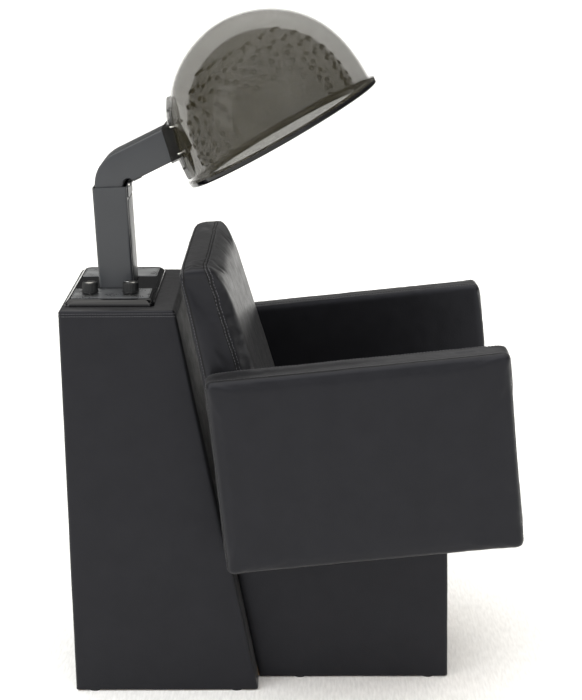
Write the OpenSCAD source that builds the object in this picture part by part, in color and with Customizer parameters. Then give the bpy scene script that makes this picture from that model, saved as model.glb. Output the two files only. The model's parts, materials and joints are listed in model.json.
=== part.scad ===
// Salon dryer chair: a padded chair on a plinth, with a hood hair dryer on the cabinet behind it.
// Millimetres, +Z up, the sitter faces -Y, and the origin is on the floor under the middle.
// Outlines of the side view are drawn as [distance forward of the cabinet's rear, height].

/* [Dryer cabinet] */
// Height of the cabinet's padded top above the floor
cabinet_height = 787; // [740:1:830]
// Width of the cabinet
cabinet_width = 374; // [360:1:410]
// Depth of the cabinet at its top
cabinet_top_depth = 222; // [215:1:240]
// Depth of the cabinet at its foot
cabinet_foot_depth = 366; // [350:1:390]
// How far the rear face leans back between foot and top
cabinet_lean = 6; // [2:1:12]
// Height of the steel service cover in the rear face
service_height = 420; // [300:5:500]
// Thickness of the plywood boards
board = 15; // [12:0.5:18]
// Thickness of the vinyl and the thin foam under it
skin = 4; // [3:0.5:5]
// Rounding of an edge that the vinyl wraps
skin_edge = 6; // [4:0.5:8]
// Height of the nylon glides
glide_height = 3; // [2:0.5:6]
// Radius of a nylon glide
glide_r = 12; // [8:1:15]

/* [Plinth] */
// Width of the plinth under the seat
plinth_width = 254; // [220:1:300]
// Distance of the plinth's front foot from the cabinet's rear
plinth_front = 758; // [700:1:790]
// Lean of the plinth's front in degrees
plinth_lean = 1; // [0:0.5:2]

/* [Seat unit] */
// Width over the two arms
seat_unit_width = 635; // [600:1:680]
// Backward rake of the seat and arms in degrees
rake = 5.7; // [3:0.1:8]
// Distance of an arm's rear top corner from the cabinet's rear
arm_start = 278; // [274:1:300]
// Height of an arm's rear top corner
arm_rise = 684; // [660:1:710]
// Length of an arm
arm_length = 572; // [540:1:600]
// Depth of an arm's panel from top to bottom
arm_depth = 392; // [370:1:400]
// Thickness of an arm over its padding
arm_thick = 67; // [60:1:75]
// Thickness of the plywood core of an arm
arm_core = 36; // [30:1:40]
// Depth of the seat's crown below the arms' top edge
seat_drop = 233; // [220:1:240]
// Thickness of the seat cushion at its crown
seat_thick = 77; // [60:1:90]
// Crown of the seat cushion
seat_crown = 12; // [6:1:18]
// Height of the seat rails
rail_height = 49; // [40:1:60]
// Thickness of the board under the seat rails
base_board = 18; // [15:1:21]

/* [Backrest] */
// Lean of the backrest's rear face against the arms in degrees
back_lean = 5.5; // [4:0.1:6]
// Height of the backrest above the arms' rear end
back_rise = 199; // [150:1:230]
// Thickness of the backrest at the height of the arms
back_thick = 100; // [90:1:115]
// Growth of the backrest's thickness for each millimetre down
back_taper = 0.107; // [0.08:0.005:0.12]
// Crown of the backrest's front
back_crown = 17; // [10:1:20]
// Thickness of the backrest's board
back_board_thick = 18; // [15:1:20]

/* [Control tray] */
// Depth of the tray from rear to front
tray_depth = 172; // [165:1:185]
// Width of the tray
tray_width = 314; // [300:1:330]
// Height of the tray above the cabinet's top
tray_height = 13; // [11:1:16]
// Distance of the tray's rear edge from the cabinet's rear
tray_start = 8; // [6:1:14]
// Width of the slope around the tray
tray_slope = 8; // [5:1:12]
// Wall of the moulded tray
tray_wall = 3; // [2:0.5:4]
// Distance of the two knobs from the middle plane
knob_side = 95; // [85:1:110]
// Radius of a knob
knob_r = 16.5; // [14:0.5:19]
// Height of a knob
knob_height = 21; // [17:1:26]
// Distance of the timer knob from the cabinet's rear
timer_place = 51.5; // [48:0.5:56]
// Distance of the heat knob from the cabinet's rear
heat_place = 130.5; // [126:0.5:136]
// Radius of a knob's shaft
knob_shaft_r = 3; // [2.5:0.25:4]

/* [Post and arm] */
// Distance of the post's axis from the cabinet's rear at the tray
post_place = 98.2; // [95:0.1:102]
// Depth of the post
post_depth = 67; // [60:1:72]
// Width of the post
post_width = 106; // [98:1:112]
// Length of the post above the tray
post_rise = 200; // [160:1:260]
// Length of the post below the tray's top
post_tail = 55; // [45:1:60]
// Backward lean of the post in degrees
post_lean = 2.3; // [0:0.1:3]
// Wall of the steel duct
duct_wall = 1.5; // [1:0.25:2]
// Outer corner radius of the steel duct
duct_corner = 5; // [4:0.5:7]
// Radius of the elbow's outer curve about the hinge pin
elbow_r = 66.5; // [65:0.5:67]
// Width of the swinging arm duct
arm_duct_width = 98; // [90:1:99]
// Gap between the hinge axis and the arm's lower face
arm_duct_gap = 3; // [2.5:0.25:4]
// Upward tilt of the arm duct in degrees
arm_duct_tilt = 26; // [18:1:34]
// Distance along the arm from the hinge pin to the dome's wall
arm_reach = 113.7; // [108:0.1:160]
// Radius of a hinge knuckle
knuckle_r = 4; // [3.5:0.25:4.5]
// Radius of the hinge pin
hinge_pin_r = 2; // [1.5:0.25:2.25]
// Length of the hinge
hinge_length = 82; // [60:1:90]
// Running clearance of a pin or shaft in its bore
running_fit = 0.05; // [0.03:0.01:0.08]

/* [Hood] */
// Backward tilt of the hood in degrees
hood_tilt = 29.35; // [22:0.05:36]
// Twist of the hood about its mount in degrees: its far side hangs lower
hood_twist = 2.2; // [0:0.1:3]
// Outer radius of the dome at its rim
dome_r = 198.9; // [185:0.1:203]
// Height of the dome
dome_height = 246.3; // [230:0.1:260]
// Wall of the clear dome
dome_wall = 3; // [2:0.5:4]
// Height on the dome where the arm meets it
mount_height = 93.8; // [85:0.1:105]
// Outer radius of the rim
rim_r = 207.7; // [205:0.1:222]
// Height of the dark rim trim
rim_height = 9; // [7:1:12]
// Outer radius of the inner bowl at its mouth
bowl_r = 167; // [150:0.5:172]
// Height of the inner bowl
bowl_height = 210.5; // [195:0.5:216]
// Wall of the inner bowl
bowl_wall = 2.5; // [2:0.5:3]
// Radius of an air hole in the bowl
air_hole_r = 3; // [2:0.5:4]
// Distance between neighbouring air holes
air_hole_pitch = 38; // [28:1:44]

/* [Blower] */
// Radius of the blower's scroll
scroll_r = 95; // [85:1:98]
// Width of the blower's scroll
scroll_width = 113; // [105:1:114]
// Height of the blower's axis
blower_axis = 445; // [442:1:460]
// Radius of the fan wheel
fan_r = 72; // [60:1:80]
// Radius of the motor shaft
motor_shaft_r = 5; // [4:0.5:6]
// Radius of the motor
motor_r = 42; // [36:1:48]
// Length of the motor
motor_length = 75; // [60:1:85]
// Number of fan blades
fan_blades = 24; // [16:1:30]

/* [Hidden] */

$fn = 64;
// Length of a cutter that passes right through
through = 400;
// Gap left between two parts that only touch
seat_gap = 0.3;
// Facets of a small round part and of a small ball or wire
small_fn = 32;
wire_fn = 24;
vinyl = "#2f3033";
plywood = "#b9966a";
steel = "#54575b";
gloss_black = "#151618";
bright = "#b8babd";
smoke = [0.42, 0.40, 0.37, 0.45];
smoke_dark = [0.24, 0.23, 0.21, 0.6];
copper = "#8f5a34";

// ---- Lengths worked out from the driving sizes ----
// Corner radius of an arm seen from the side
arm_round = 10;
depth = arm_start + (arm_length - arm_round) * cos(rake)
    + (arm_depth - arm_round) * sin(rake) + arm_round;
inner_half = seat_unit_width / 2 - arm_thick;
tray_top = cabinet_height + tray_height;
cabinet_half = cabinet_width / 2;
plinth_half = plinth_width / 2;

// ---- Helpers for outlines ----
function unit(v) = v / norm(v);
function turn(p, a) = [p[0] * cos(a) - p[1] * sin(a), p[0] * sin(a) + p[1] * cos(a)];
// Inward normal of an edge of a clockwise outline
function inward(a, b) = let (e = unit(b - a)) [e[1], -e[0]];
// A convex clockwise outline moved inwards by t on all sides
function shrink(o, t) = [
    for (i = [0 : len(o) - 1])
        let (m = inward(o[(i + len(o) - 1) % len(o)], o[i]), n = inward(o[i], o[(i + 1) % len(o)]))
            o[i] + t * (m + n) / (1 + m * n)
];
// The wall between edge k of an outline and the same edge of an inner outline
function wall_of(o, i, k) = [o[k], o[(k + 1) % 4], i[(k + 1) % 4], i[k]];
function arc(r, a0, a1, steps) = [
    for (i = [0 : steps]) let (a = a0 + (a1 - a0) * i / steps) [r * cos(a), r * sin(a)]
];

// Extrudes a side-view outline across the object, from x0 to x1
module across(x0, x1) {
    translate([x1, depth / 2, 0])
        rotate([90, 0, -90])
            linear_extrude(x1 - x0)
                children();
}

// Places children at a distance forward of the cabinet's rear
module at(x, forward, z) {
    translate([x, depth / 2 - forward, z])
        children();
}

// The raked frame of the seat unit: -Y runs forward along the arms, Z across them
module raked() {
    at(0, arm_start, arm_rise)
        rotate([-rake, 0, 0])
            children();
}

// Extrudes an outline of the raked frame, drawn as [forward, up]
module raked_across(x0, x1) {
    translate([x1, 0, 0])
        rotate([90, 0, -90])
            linear_extrude(x1 - x0)
                children();
}

// A box of the raked frame, from its limits
module raked_box(x, forward, up) {
    raked()
        translate([x[0], -forward[1], up[0]])
            cube([x[1] - x[0], forward[1] - forward[0], up[1] - up[0]]);
}

// A rectangle with true round corners, centred
module rounded_rect(w, d, r) {
    square([w - 2 * r, d], center = true);
    square([w, d - 2 * r], center = true);
    for (x = [-1, 1], y = [-1, 1])
        translate([x * (w / 2 - r), y * (d / 2 - r)])
            circle(r);
}

// A rectangle with two round ends, its length along Y
module stadium(r, straight) {
    square([2 * r, straight], center = true);
    for (y = [-1, 1])
        translate([0, y * straight / 2])
            circle(r);
}

// A solid of a side-view outline with every edge rounded, as tight vinyl leaves it
module soft_block(outline, half, r) {
    hull()
        for (p = shrink(outline, r), x = [-1, 1] * (half - r))
            at(x, p[0], p[1])
                sphere(r, $fn = wire_fn);
}

// ---- Padded panels ----
side_steps = 4;
corner_steps = 4;
round_steps = 4;
crown_steps = [0.12, 0.3, 0.55, 1];

// One ring of a padded panel: a rounded rectangle whose sides are drawn in between the corners
function panel_ring(w, h, corner, inset, bow) =
    let (r = max(corner - inset, 0.5), a = w / 2 - inset - r, b = h / 2 - inset - r)
    let (drawn = bow * min(a, b) / (min(w, h) / 2))
    [
        for (c = [0 : 3])
            let (
                m = [[a, b], [-a, b], [-a, -b], [a, -b]][c],
                n = [[-a, b], [-a, -b], [a, -b], [a, b]][c],
                dir = [cos(90 * (c + 1)), sin(90 * (c + 1))]
            )
            each concat(
                [for (k = [0 : corner_steps])
                    let (t = 90 * c + 90 * k / corner_steps) m + r * [cos(t), sin(t)]],
                [for (k = [1 : side_steps - 1])
                    let (f = k / side_steps) m + (n - m) * f + dir * (r - 4 * drawn * f * (1 - f))]
            )
    ];

// Rings of a padded panel, from its rear to its front, as [inset, height, crown]
function panel_steps(w, h, t, edge, rear_crown, front_crown, band) =
    let (reach = min(w, h) / 2 - 1.5 - edge, low = rear_crown, high = t - front_crown)
    concat(
        [for (k = [len(crown_steps) - 1 : -1 : 0]) [edge + crown_steps[k] * reach, low, -rear_crown]],
        [for (k = [0 : round_steps])
            let (a = 90 * k / round_steps) [edge * (1 - sin(a)), low + edge * (1 - cos(a)), 0]],
        [[band, (low + high) / 2, 0]],
        [for (k = [round_steps : -1 : 0])
            let (a = 90 * k / round_steps) [edge * (1 - sin(a)), high - edge * (1 - cos(a)), 0]],
        [for (s = crown_steps) [edge + s * reach, high, front_crown]]
    );
// Share of the crown at a point of a panel
function crown_at(p, w, h, edge) =
    (1 - pow(p[0] / (w / 2 - edge), 2)) * (1 - pow(p[1] / (h / 2 - edge), 2));

// A padded panel in the XY plane, its thickness along Z, thicker by taper for each mm along -Y
module padded_panel(w, h, t, corner, edge, rear_crown, front_crown, band, bow, taper = 0) {
    steps = panel_steps(w, h, t, edge, rear_crown, front_crown, band);
    count = 4 * (corner_steps + side_steps);
    last = len(steps) - 1;
    points = concat(
        [for (s = steps, p = panel_ring(w, h, corner, s[0], bow))
            let (z = s[1] + s[2] * crown_at(p, w, h, edge))
            [p[0], p[1], z - taper * p[1] * z / t]],
        [[0, 0, 0], [0, 0, t]]
    );
    faces = concat(
        [for (i = [0 : last - 1], j = [0 : count - 1])
            let (a = i * count + j, b = i * count + (j + 1) % count)
            each [[a, a + count, b], [b, a + count, b + count]]],
        [for (j = [0 : count - 1]) [j, (j + 1) % count, len(points) - 2]],
        [for (j = [0 : count - 1])
            [last * count + (j + 1) % count, last * count + j, len(points) - 1]]
    );
    polyhedron(points, faces, convexity = 4);
}

// ---- Cabinet ----
// Side outline, clockwise in [forward, height]: rear foot, rear top, front top, front foot
cabinet_outline = [
    [cabinet_lean, glide_height],
    [0, cabinet_height],
    [cabinet_top_depth, cabinet_height],
    [cabinet_lean + cabinet_foot_depth, glide_height]
];
front_slope = (cabinet_foot_depth + cabinet_lean - cabinet_top_depth)
    / (cabinet_height - glide_height);
cabinet_boards = shrink(cabinet_outline, skin);
cabinet_inside = shrink(cabinet_boards, board);
board_half = cabinet_half - skin;
inside_half = board_half - board;
// Outline of the boards with the foot at the glides, where no vinyl runs under them
rear_slope = cabinet_lean / (cabinet_height - glide_height);
cabinet_carcass = [
    [cabinet_boards[0][0] + skin * rear_slope, glide_height], cabinet_boards[1],
    cabinet_boards[2], [cabinet_boards[3][0] + skin * front_slope, glide_height]
];
cabinet_hollow = [
    [cabinet_inside[0][0] + skin * rear_slope, glide_height + board], cabinet_inside[1],
    cabinet_inside[2], [cabinet_inside[3][0] + skin * front_slope, glide_height + board]
];
// Distance forward of the cabinet's front face at a height
function cabinet_front_at(z) = cabinet_top_depth + (cabinet_height - z) * front_slope;
function cabinet_rear_at(z) = (cabinet_height - z) * rear_slope;

window_depth = tray_depth - 2 * tray_slope;
window_width = tray_width - 2 * tray_slope;
tray_middle = tray_start + tray_depth / 2;
// Square opening for the body of a control, and play round the post
shaft_box = 54;
post_hole = 6;

module controls_cut(size) {
    for (p = [timer_place, heat_place])
        at(-knob_side, p, cabinet_height)
            cube([size, size, through], center = true);
    at(0, post_place, cabinet_height)
        cube([post_width + post_hole, post_depth + post_hole, through], center = true);
}

module service_screw_holes(length) {
    for (p = service_screws)
        at(p[0], cabinet_rear_at(p[1]), p[1])
            rotate([90, 0, 0])
                cylinder(h = length, r = cover_screw_r + running_fit, center = true);
}
module cabinet_side_panel() {
    difference() {
        across(inside_half, board_half)
            polygon(cabinet_carcass);
        service_screw_holes(2 * cover_pilot_depth);
    }
}
module cabinet_right_panel() {
    color(plywood) mirror([1, 0, 0]) cabinet_side_panel();
}
module cabinet_left_panel() {
    color(plywood) cabinet_side_panel();
}
module cabinet_wall(k) {
    across(-inside_half, inside_half)
        polygon(wall_of(cabinet_carcass, cabinet_hollow, k));
}
module cabinet_front_panel() {
    color(plywood) cabinet_wall(2);
}
module cabinet_bottom_panel() {
    color(plywood) cabinet_wall(3);
}
module cabinet_top_panel() {
    color(plywood)
        difference() {
            cabinet_wall(1);
            controls_cut(shaft_box + 2);
        }
}
module cabinet_back_panel() {
    color(plywood)
        intersection() {
            cabinet_wall(0);
            at(0, 0, service_height + 1 + through)
                cube([cabinet_width, cabinet_width, 2 * through], center = true);
        }
}
module cabinet_cover() {
    color(vinyl)
        difference() {
            soft_block(
                [cabinet_outline[0] - [0, skin_edge * 3], cabinet_outline[1], cabinet_outline[2],
                 cabinet_outline[3] - [-3 * skin_edge * front_slope, 3 * skin_edge]],
                cabinet_half, skin_edge
            );
            across(-board_half, board_half)
                polygon([
                    cabinet_carcass[0] - [0, 2 * board], cabinet_carcass[1], cabinet_carcass[2],
                    cabinet_carcass[3] - [-2 * board * front_slope, 2 * board]
                ]);
            at(0, depth / 2, -through / 2 + glide_height)
                cube([through * 3, through * 3, through], center = true);
            at(0, tray_middle, cabinet_height)
                cube([window_width, window_depth, 4 * skin], center = true);
            at(0, 0, service_height / 2)
                cube([2 * board_half, 8 * skin, service_height], center = true);
        }
}

// ---- Service cover in the rear face ----
cover_sheet = 2;
louvre_count = 10;
louvre_pitch = 14;
louvre_start = 230;
louvre_length = 200;
louvre_gap = 5;
cover_screw_r = 2;
cover_screw_head_r = 4;
cover_screw_length = 16;
cover_screw_head = 2;
cover_pilot_depth = 22;
gland_height = 120;
gland_r = 8;
gland_flange_r = 12;
gland_flange = 3;
gland_nut = 6;
cord_r = 4.2;
gland_inside = 20;
// Depth of the steel cover's outer face behind the vinyl's, and gap at its foot and head
cover_sunk = skin - cover_sheet - seat_gap / 3;
cover_gap = 1;
service_outline = [
    [cabinet_rear_at(glide_height) + cover_sunk, glide_height + cover_gap],
    [cabinet_rear_at(service_height) + cover_sunk, service_height - cover_gap],
    [cabinet_rear_at(service_height) + cover_sunk + cover_sheet, service_height - cover_gap],
    [cabinet_rear_at(glide_height) + cover_sunk + cover_sheet, glide_height + cover_gap]
];
service_screw_rows = [0.1, 0.5, 0.93];
service_screws = [
    for (x = [-1, 1] * (board_half - board / 2), z = service_screw_rows) [x, z * service_height]
];

module service_cover() {
    color(steel)
        difference() {
            across(-board_half, board_half)
                polygon(service_outline);
            for (i = [0 : louvre_count - 1])
                at(0, 0, louvre_start + i * louvre_pitch)
                    cube([louvre_length, through, louvre_gap], center = true);
            at(-knob_side, 0, gland_height)
                rotate([90, 0, 0])
                    cylinder(h = through, r = gland_r + running_fit, center = true);
            service_screw_holes(2 * cover_pilot_depth);
        }
}
module cord_gland() {
    rear = cabinet_rear_at(gland_height) + cover_sunk;
    color(gloss_black)
        difference() {
            at(-knob_side, rear, gland_height)
                rotate([90, 0, 0]) {
                    translate([0, 0, -gland_flange])
                        cylinder(h = gland_flange - seat_gap / 2, r = gland_flange_r);
                    translate([0, 0, -gland_flange])
                        cylinder(h = gland_inside + gland_flange, r = gland_r);
                    translate([0, 0, cover_sheet + seat_gap])
                        cylinder(h = gland_nut, r = gland_flange_r, $fn = 6);
                }
            at(-knob_side, 0, gland_height)
                rotate([90, 0, 0])
                    cylinder(h = through, r = cord_r, center = true);
        }
}
module panel_screws() {
    color(bright)
        for (p = service_screws)
            at(p[0], cabinet_rear_at(p[1]) + cover_sunk, p[1])
                rotate([90, 0, 0])
                    translate([0, 0, -cover_screw_head]) {
                        cylinder(h = cover_screw_head - seat_gap / 3, r = cover_screw_head_r);
                        cylinder(h = cover_screw_length, r = cover_screw_r);
                    }
}

// ---- Glides under the cabinet and the plinth ----
cabinet_glide_rows = [0.12, 0.9];
plinth_glide_rows = [cabinet_foot_depth + 90, plinth_front - 40];
glide_places = concat(
    [for (x = [-1, 1] * (inside_half + board / 2), y = cabinet_glide_rows)
        [x, y * cabinet_foot_depth]],
    [for (x = [-1, 1] * (plinth_half - skin - board / 2), y = plinth_glide_rows) [x, y]]
);
module glides() {
    color(gloss_black)
        for (p = glide_places)
            at(p[0], p[1], 0)
                cylinder(h = glide_height, r = min(glide_r, board / 2 + skin));
}

// ---- Blower in the cabinet ----
// Feet under the scroll: their width and height, and the shelf's drop below the scroll
scroll_foot = [120, 40];
shelf_top = blower_axis - scroll_r - 5;
outlet_depth = post_depth + 6;
outlet_wall = 2;
// Shift of the leaning post's tail against its place on the tray
tail_shift = (post_tail - tray_height / 2) * tan(post_lean);
blower_place = post_place + tail_shift - outlet_depth / 2 + scroll_r;
outlet_rise = 130;
inlet_lip = 12;
shaft_room = 4;
wire_hole_r = 8;
heater_clearance = 1;
heater_wall = 1.5;
top_under = cabinet_height - skin - board;
heater_foot = blower_axis + outlet_rise - 20;
heater_middle = post_place + tail_shift;
scroll_half = scroll_width / 2;

module blower_shelf() {
    outline = [
        [cabinet_rear_at(shelf_top) + skin + board, shelf_top - board],
        [cabinet_rear_at(shelf_top) + skin + board, shelf_top],
        [cabinet_front_at(shelf_top) - (skin + board) * norm([1, front_slope]), shelf_top],
        [cabinet_front_at(shelf_top) - (skin + board) * norm([1, front_slope]), shelf_top - board]
    ];
    color(plywood)
        difference() {
            across(-inside_half, inside_half)
                polygon(outline);
            at(-knob_side, timer_place, shelf_top)
                cylinder(h = 4 * board, r = wire_hole_r, center = true);
        }
}
module blower_housing() {
    color(steel)
        difference() {
            union() {
                across(-scroll_half, scroll_half) {
                    translate([blower_place, blower_axis]) circle(scroll_r);
                    translate([blower_place - scroll_r, blower_axis]) square([outlet_depth, outlet_rise]);
                    translate([blower_place - scroll_foot[0] / 2, shelf_top]) square(scroll_foot);
                }
            }
            across(outlet_wall - scroll_half, scroll_half - outlet_wall) {
                translate([blower_place, blower_axis]) circle(scroll_r - outlet_wall);
                translate([blower_place - scroll_r + outlet_wall, blower_axis])
                    square([outlet_depth - 2 * outlet_wall, outlet_rise + 1]);
            }
            at(-scroll_half, blower_place, blower_axis)
                rotate([0, 90, 0])
                    cylinder(h = 4 * outlet_wall, r = fan_r - inlet_lip, center = true);
            at(scroll_half, blower_place, blower_axis)
                rotate([0, 90, 0])
                    cylinder(h = 4 * outlet_wall, r = motor_shaft_r + shaft_room, center = true);
        }
}
motor_foot = [2 * motor_r + 10, 24];
module fan_motor() {
    color(steel)
        difference() {
            across(scroll_half, scroll_half + motor_length)
                translate([blower_place, blower_axis]) {
                    circle(motor_r);
                    square(motor_foot, center = true);
                }
            at(0, blower_place, blower_axis)
                rotate([0, 90, 0])
                    cylinder(h = through, r = motor_shaft_r + running_fit);
        }
}
shaft_start = -scroll_half + 22;
shaft_end = scroll_half + motor_length + shaft_room;
module motor_shaft() {
    color(bright)
        at(shaft_start, blower_place, blower_axis)
            rotate([0, 90, 0])
                cylinder(h = shaft_end - shaft_start, r = motor_shaft_r);
}
fan_half = scroll_half - outlet_wall - inlet_lip;
module fan_wheel() {
    blade = 2;
    blade_depth = 12;
    plate = 3;
    hub_length = 24;
    hub_r = 14;
    rim_in = fan_r - blade_depth;
    color(steel)
        at(0, blower_place, blower_axis)
            rotate([0, 90, 0])
                difference() {
                    union() {
                        translate([0, 0, fan_half - plate]) cylinder(h = plate, r = fan_r);
                        translate([0, 0, fan_half - hub_length]) cylinder(h = hub_length, r = hub_r);
                        difference() {
                            translate([0, 0, -fan_half]) cylinder(h = plate, r = fan_r);
                            translate([0, 0, -fan_half - 1]) cylinder(h = plate + 2, r = rim_in);
                        }
                        for (i = [0 : fan_blades - 1])
                            rotate([0, 0, 360 * i / fan_blades])
                                translate([rim_in, -blade / 2, -fan_half + 1])
                                    cube([blade_depth - 1, blade, 2 * fan_half - 2]);
                    }
                    cylinder(h = through, r = motor_shaft_r, center = true);
                }
}
// Flange of the heater box: how much wider, how much deeper, how thick
heater_flange = [16, 6, 2];
box_depth = outlet_depth + 2 * (heater_clearance + heater_wall);
box_width = scroll_width + 2 * (heater_clearance + heater_wall);
module heater_box() {
    color(steel)
        difference() {
            union() {
                at(0, heater_middle, (top_under + heater_foot) / 2)
                    cube([box_width, box_depth, top_under - heater_foot], center = true);
                at(0, heater_middle, top_under - heater_flange[2] / 2)
                    cube([box_width, box_depth, 0] + heater_flange, center = true);
            }
            at(0, heater_middle, heater_foot)
                cube([box_width - 2 * heater_wall, box_depth - 2 * heater_wall, 2 * through],
                    center = true);
        }
}
module heating_element() {
    mica = 1.5;
    rod_r = 1.5;
    rows = 5;
    pitch = 24;
    card_side = 28;
    rod_places = [-18, 0, 18];
    foot = blower_axis + outlet_rise + 15;
    play = 2 * (heater_wall + seat_gap);
    color(copper) {
        for (x = [-1, 1] * card_side)
            at(x, heater_middle, foot + rows * pitch / 2)
                cube([mica, box_depth - play, rows * pitch], center = true);
        for (i = [0 : rows - 1], y = rod_places)
            at((play - box_width) / 2, heater_middle + y, foot + (i + 0.5) * pitch)
                rotate([0, 90, 0])
                    cylinder(h = box_width - play, r = rod_r, $fn = wire_fn);
    }
}

// ---- Wiring held inside the cabinet ----
wire_r = 3;
timer_drop = 42;
switch_drop = 32;
branch_height = tray_top - 80;
loop_height = blower_axis + 115;
motor_top = blower_axis + motor_r;
loom_side = scroll_half + motor_length / 2;
// Runs of the loom as [x, forward, z]
loom_trunk = [
    [-knob_side, cabinet_rear_at(gland_height) + skin + gland_inside + seat_gap, gland_height],
    [-knob_side, timer_place, gland_height],
    [-knob_side, timer_place, tray_top - tray_wall - timer_drop - seat_gap]
];
loom_heat = [
    [-knob_side, timer_place, branch_height],
    [-knob_side, heat_place, branch_height],
    [-knob_side, heat_place, tray_top - tray_wall - switch_drop - seat_gap]
];
loom_motor = [
    [-knob_side, timer_place, loop_height],
    [loom_side, timer_place, loop_height],
    [loom_side, blower_place, loop_height],
    [loom_side, blower_place, motor_top + seat_gap]
];
module wire_run(p, q) {
    v = [q[0] - p[0], p[1] - q[1], q[2] - p[2]];
    at(p[0], p[1], p[2])
        rotate([0, acos(v[2] / norm(v)), atan2(v[1], v[0])])
            cylinder(h = norm(v), r = wire_r, $fn = wire_fn);
}
module wire_path(path) {
    for (i = [1 : len(path) - 1])
        wire_run(path[i - 1], path[i]);
    for (i = [1 : len(path) - 2])
        at(path[i][0], path[i][1], path[i][2])
            sphere(wire_r, $fn = wire_fn);
}
module wiring_loom() {
    color(gloss_black) {
        wire_path(loom_trunk);
        wire_path(loom_heat);
        wire_path(loom_motor);
    }
}

// ---- Tray, its plates and its controls ----
plate_thick = 3;
// Section of the post, grown by a distance on all sides
module post_section(grow) {
    rounded_rect(post_width + 2 * grow, post_depth + 2 * grow, duct_corner + grow);
}
module post_mount_plate() {
    color(steel)
        difference() {
            at(0, tray_middle, cabinet_height - skin + plate_thick / 2)
                cube([window_width - 2, window_depth - 2, plate_thick], center = true);
            for (p = [timer_place, heat_place])
                at(-knob_side, p, cabinet_height)
                    cube([shaft_box + 1, shaft_box + 1, through], center = true);
            post_frame()
                linear_extrude(through, center = true)
                    post_section(seat_gap);
        }
}
tray_corner = 12;
module tray_block(w, d, low, high, slope) {
    hull() {
        at(0, tray_middle, low)
            linear_extrude(high - low - slope)
                rounded_rect(w, d, tray_corner, $fn = small_fn);
        at(0, tray_middle, low)
            linear_extrude(high - low)
                rounded_rect(w - 2 * slope, d - 2 * slope, tray_corner, $fn = small_fn);
    }
}
label_thick = 0.6;
label_depth = 150;
label_corner = 3;
label_width = 80;
label_gap = 4;
module control_tray() {
    color(gloss_black)
        difference() {
            tray_block(tray_width, tray_depth, cabinet_height, tray_top, tray_slope);
            tray_block(tray_width - 2 * tray_wall, tray_depth - 2 * tray_wall,
                cabinet_height - 1, tray_top - tray_wall, tray_slope);
            for (p = [timer_place, heat_place])
                at(-knob_side, p, tray_top)
                    cylinder(h = 4 * tray_wall, r = knob_shaft_r + 1, center = true);
            post_frame()
                linear_extrude(through / 4, center = true)
                    post_section(1);
        }
}
label_x = post_width / 2 + label_gap;
module label_plate(side) {
    color(bright)
        difference() {
            at(side * (label_x + label_width / 2), tray_middle, tray_top)
                linear_extrude(label_thick)
                    rounded_rect(label_width, label_depth, label_corner);
            for (p = [timer_place, heat_place])
                at(-knob_side, p, tray_top)
                    cylinder(h = 10, r = knob_shaft_r + 1, center = true);
        }
}
module dial_plate() {
    label_plate(-1);
}
module bare_plate() {
    label_plate(1);
}
body_top = tray_top - tray_wall;
body_side = shaft_box - 4;
module control_body(place, drop) {
    color(gloss_black)
        difference() {
            at(-knob_side, place, body_top - drop / 2)
                cube([body_side, body_side, drop], center = true);
            at(-knob_side, place, body_top - drop / 2)
                cylinder(h = through / 4, r = knob_shaft_r + running_fit);
        }
}
module timer_body() {
    control_body(timer_place, timer_drop);
}
module heat_switch() {
    control_body(heat_place, switch_drop);
}
// Roof of a knob over its shaft, and length of a shaft inside its control
knob_roof = 5;
shaft_in = 10;
shaft_top = tray_top + label_thick + knob_height - knob_roof;
module control_shaft(place) {
    color(bright)
        at(-knob_side, place, body_top - shaft_in)
            cylinder(h = shaft_top - body_top + shaft_in, r = knob_shaft_r);
}
module timer_shaft() {
    control_shaft(timer_place);
}
module heat_shaft() {
    control_shaft(heat_place);
}
knob_lift = 1;
knob_base = tray_top + label_thick + knob_lift;
knob_skirt = 3;
knob_bevel = 2;
grip_count = 36;
grip_r = 0.8;
module knob(place) {
    grip = knob_r - 1;
    color(gloss_black)
        at(-knob_side, place, knob_base)
            difference() {
                union() {
                    cylinder(h = knob_skirt, r = knob_r);
                    cylinder(h = knob_height - knob_bevel, r = grip);
                    translate([0, 0, knob_height - knob_bevel])
                        cylinder(h = knob_bevel, r1 = grip, r2 = grip - knob_bevel);
                }
                translate([0, 0, -1])
                    cylinder(h = shaft_top - knob_base + 1 + seat_gap / 2, r = knob_shaft_r);
                for (i = [0 : grip_count - 1])
                    rotate([0, 0, 360 * i / grip_count])
                        translate([knob_r - grip_r, 0, knob_skirt + 1])
                            cylinder(h = knob_height, r = grip_r, $fn = 16);
            }
}
module timer_knob() {
    knob(timer_place);
}
module heat_knob() {
    knob(heat_place);
}

// ---- Post, hinge and arm duct ----
// The post's frame: Z runs up the post from the tray's top, -Y is forward
module post_frame() {
    at(0, post_place, tray_top)
        rotate([-post_lean, 0, 0])
            children();
}
// Gap between the knuckles and the post, and height of the pin above the post
hinge_gap = 0.4;
pin_lift = 3;
pin_out = post_depth / 2 + knuckle_r + hinge_gap;
pin_up = post_rise + pin_lift;
pin_point = [post_place, tray_top] + turn([pin_out, pin_up], post_lean);
// The arm's frame: -Y runs along the arm from the hinge axis, Z is square to it
module arm_frame() {
    at(0, pin_point[0], pin_point[1])
        rotate([-arm_duct_tilt, 0, 0])
            children();
}
// Extrudes an outline of the arm's frame, drawn as [along, square to the arm]
module arm_across(x0, x1) {
    translate([x1, 0, 0])
        rotate([90, 0, -90])
            linear_extrude(x1 - x0)
                children();
}
// How far the elbow's curve runs past the level of the pin, in degrees
elbow_overlap = 12;
elbow_end = 180 - arm_duct_tilt + elbow_overlap;
// Radius of the hollow round the hinge, and how far the arm reaches into the dome
notch_r = 12;
arm_inside = 20;
arm_end = arm_reach + arm_inside;
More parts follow.
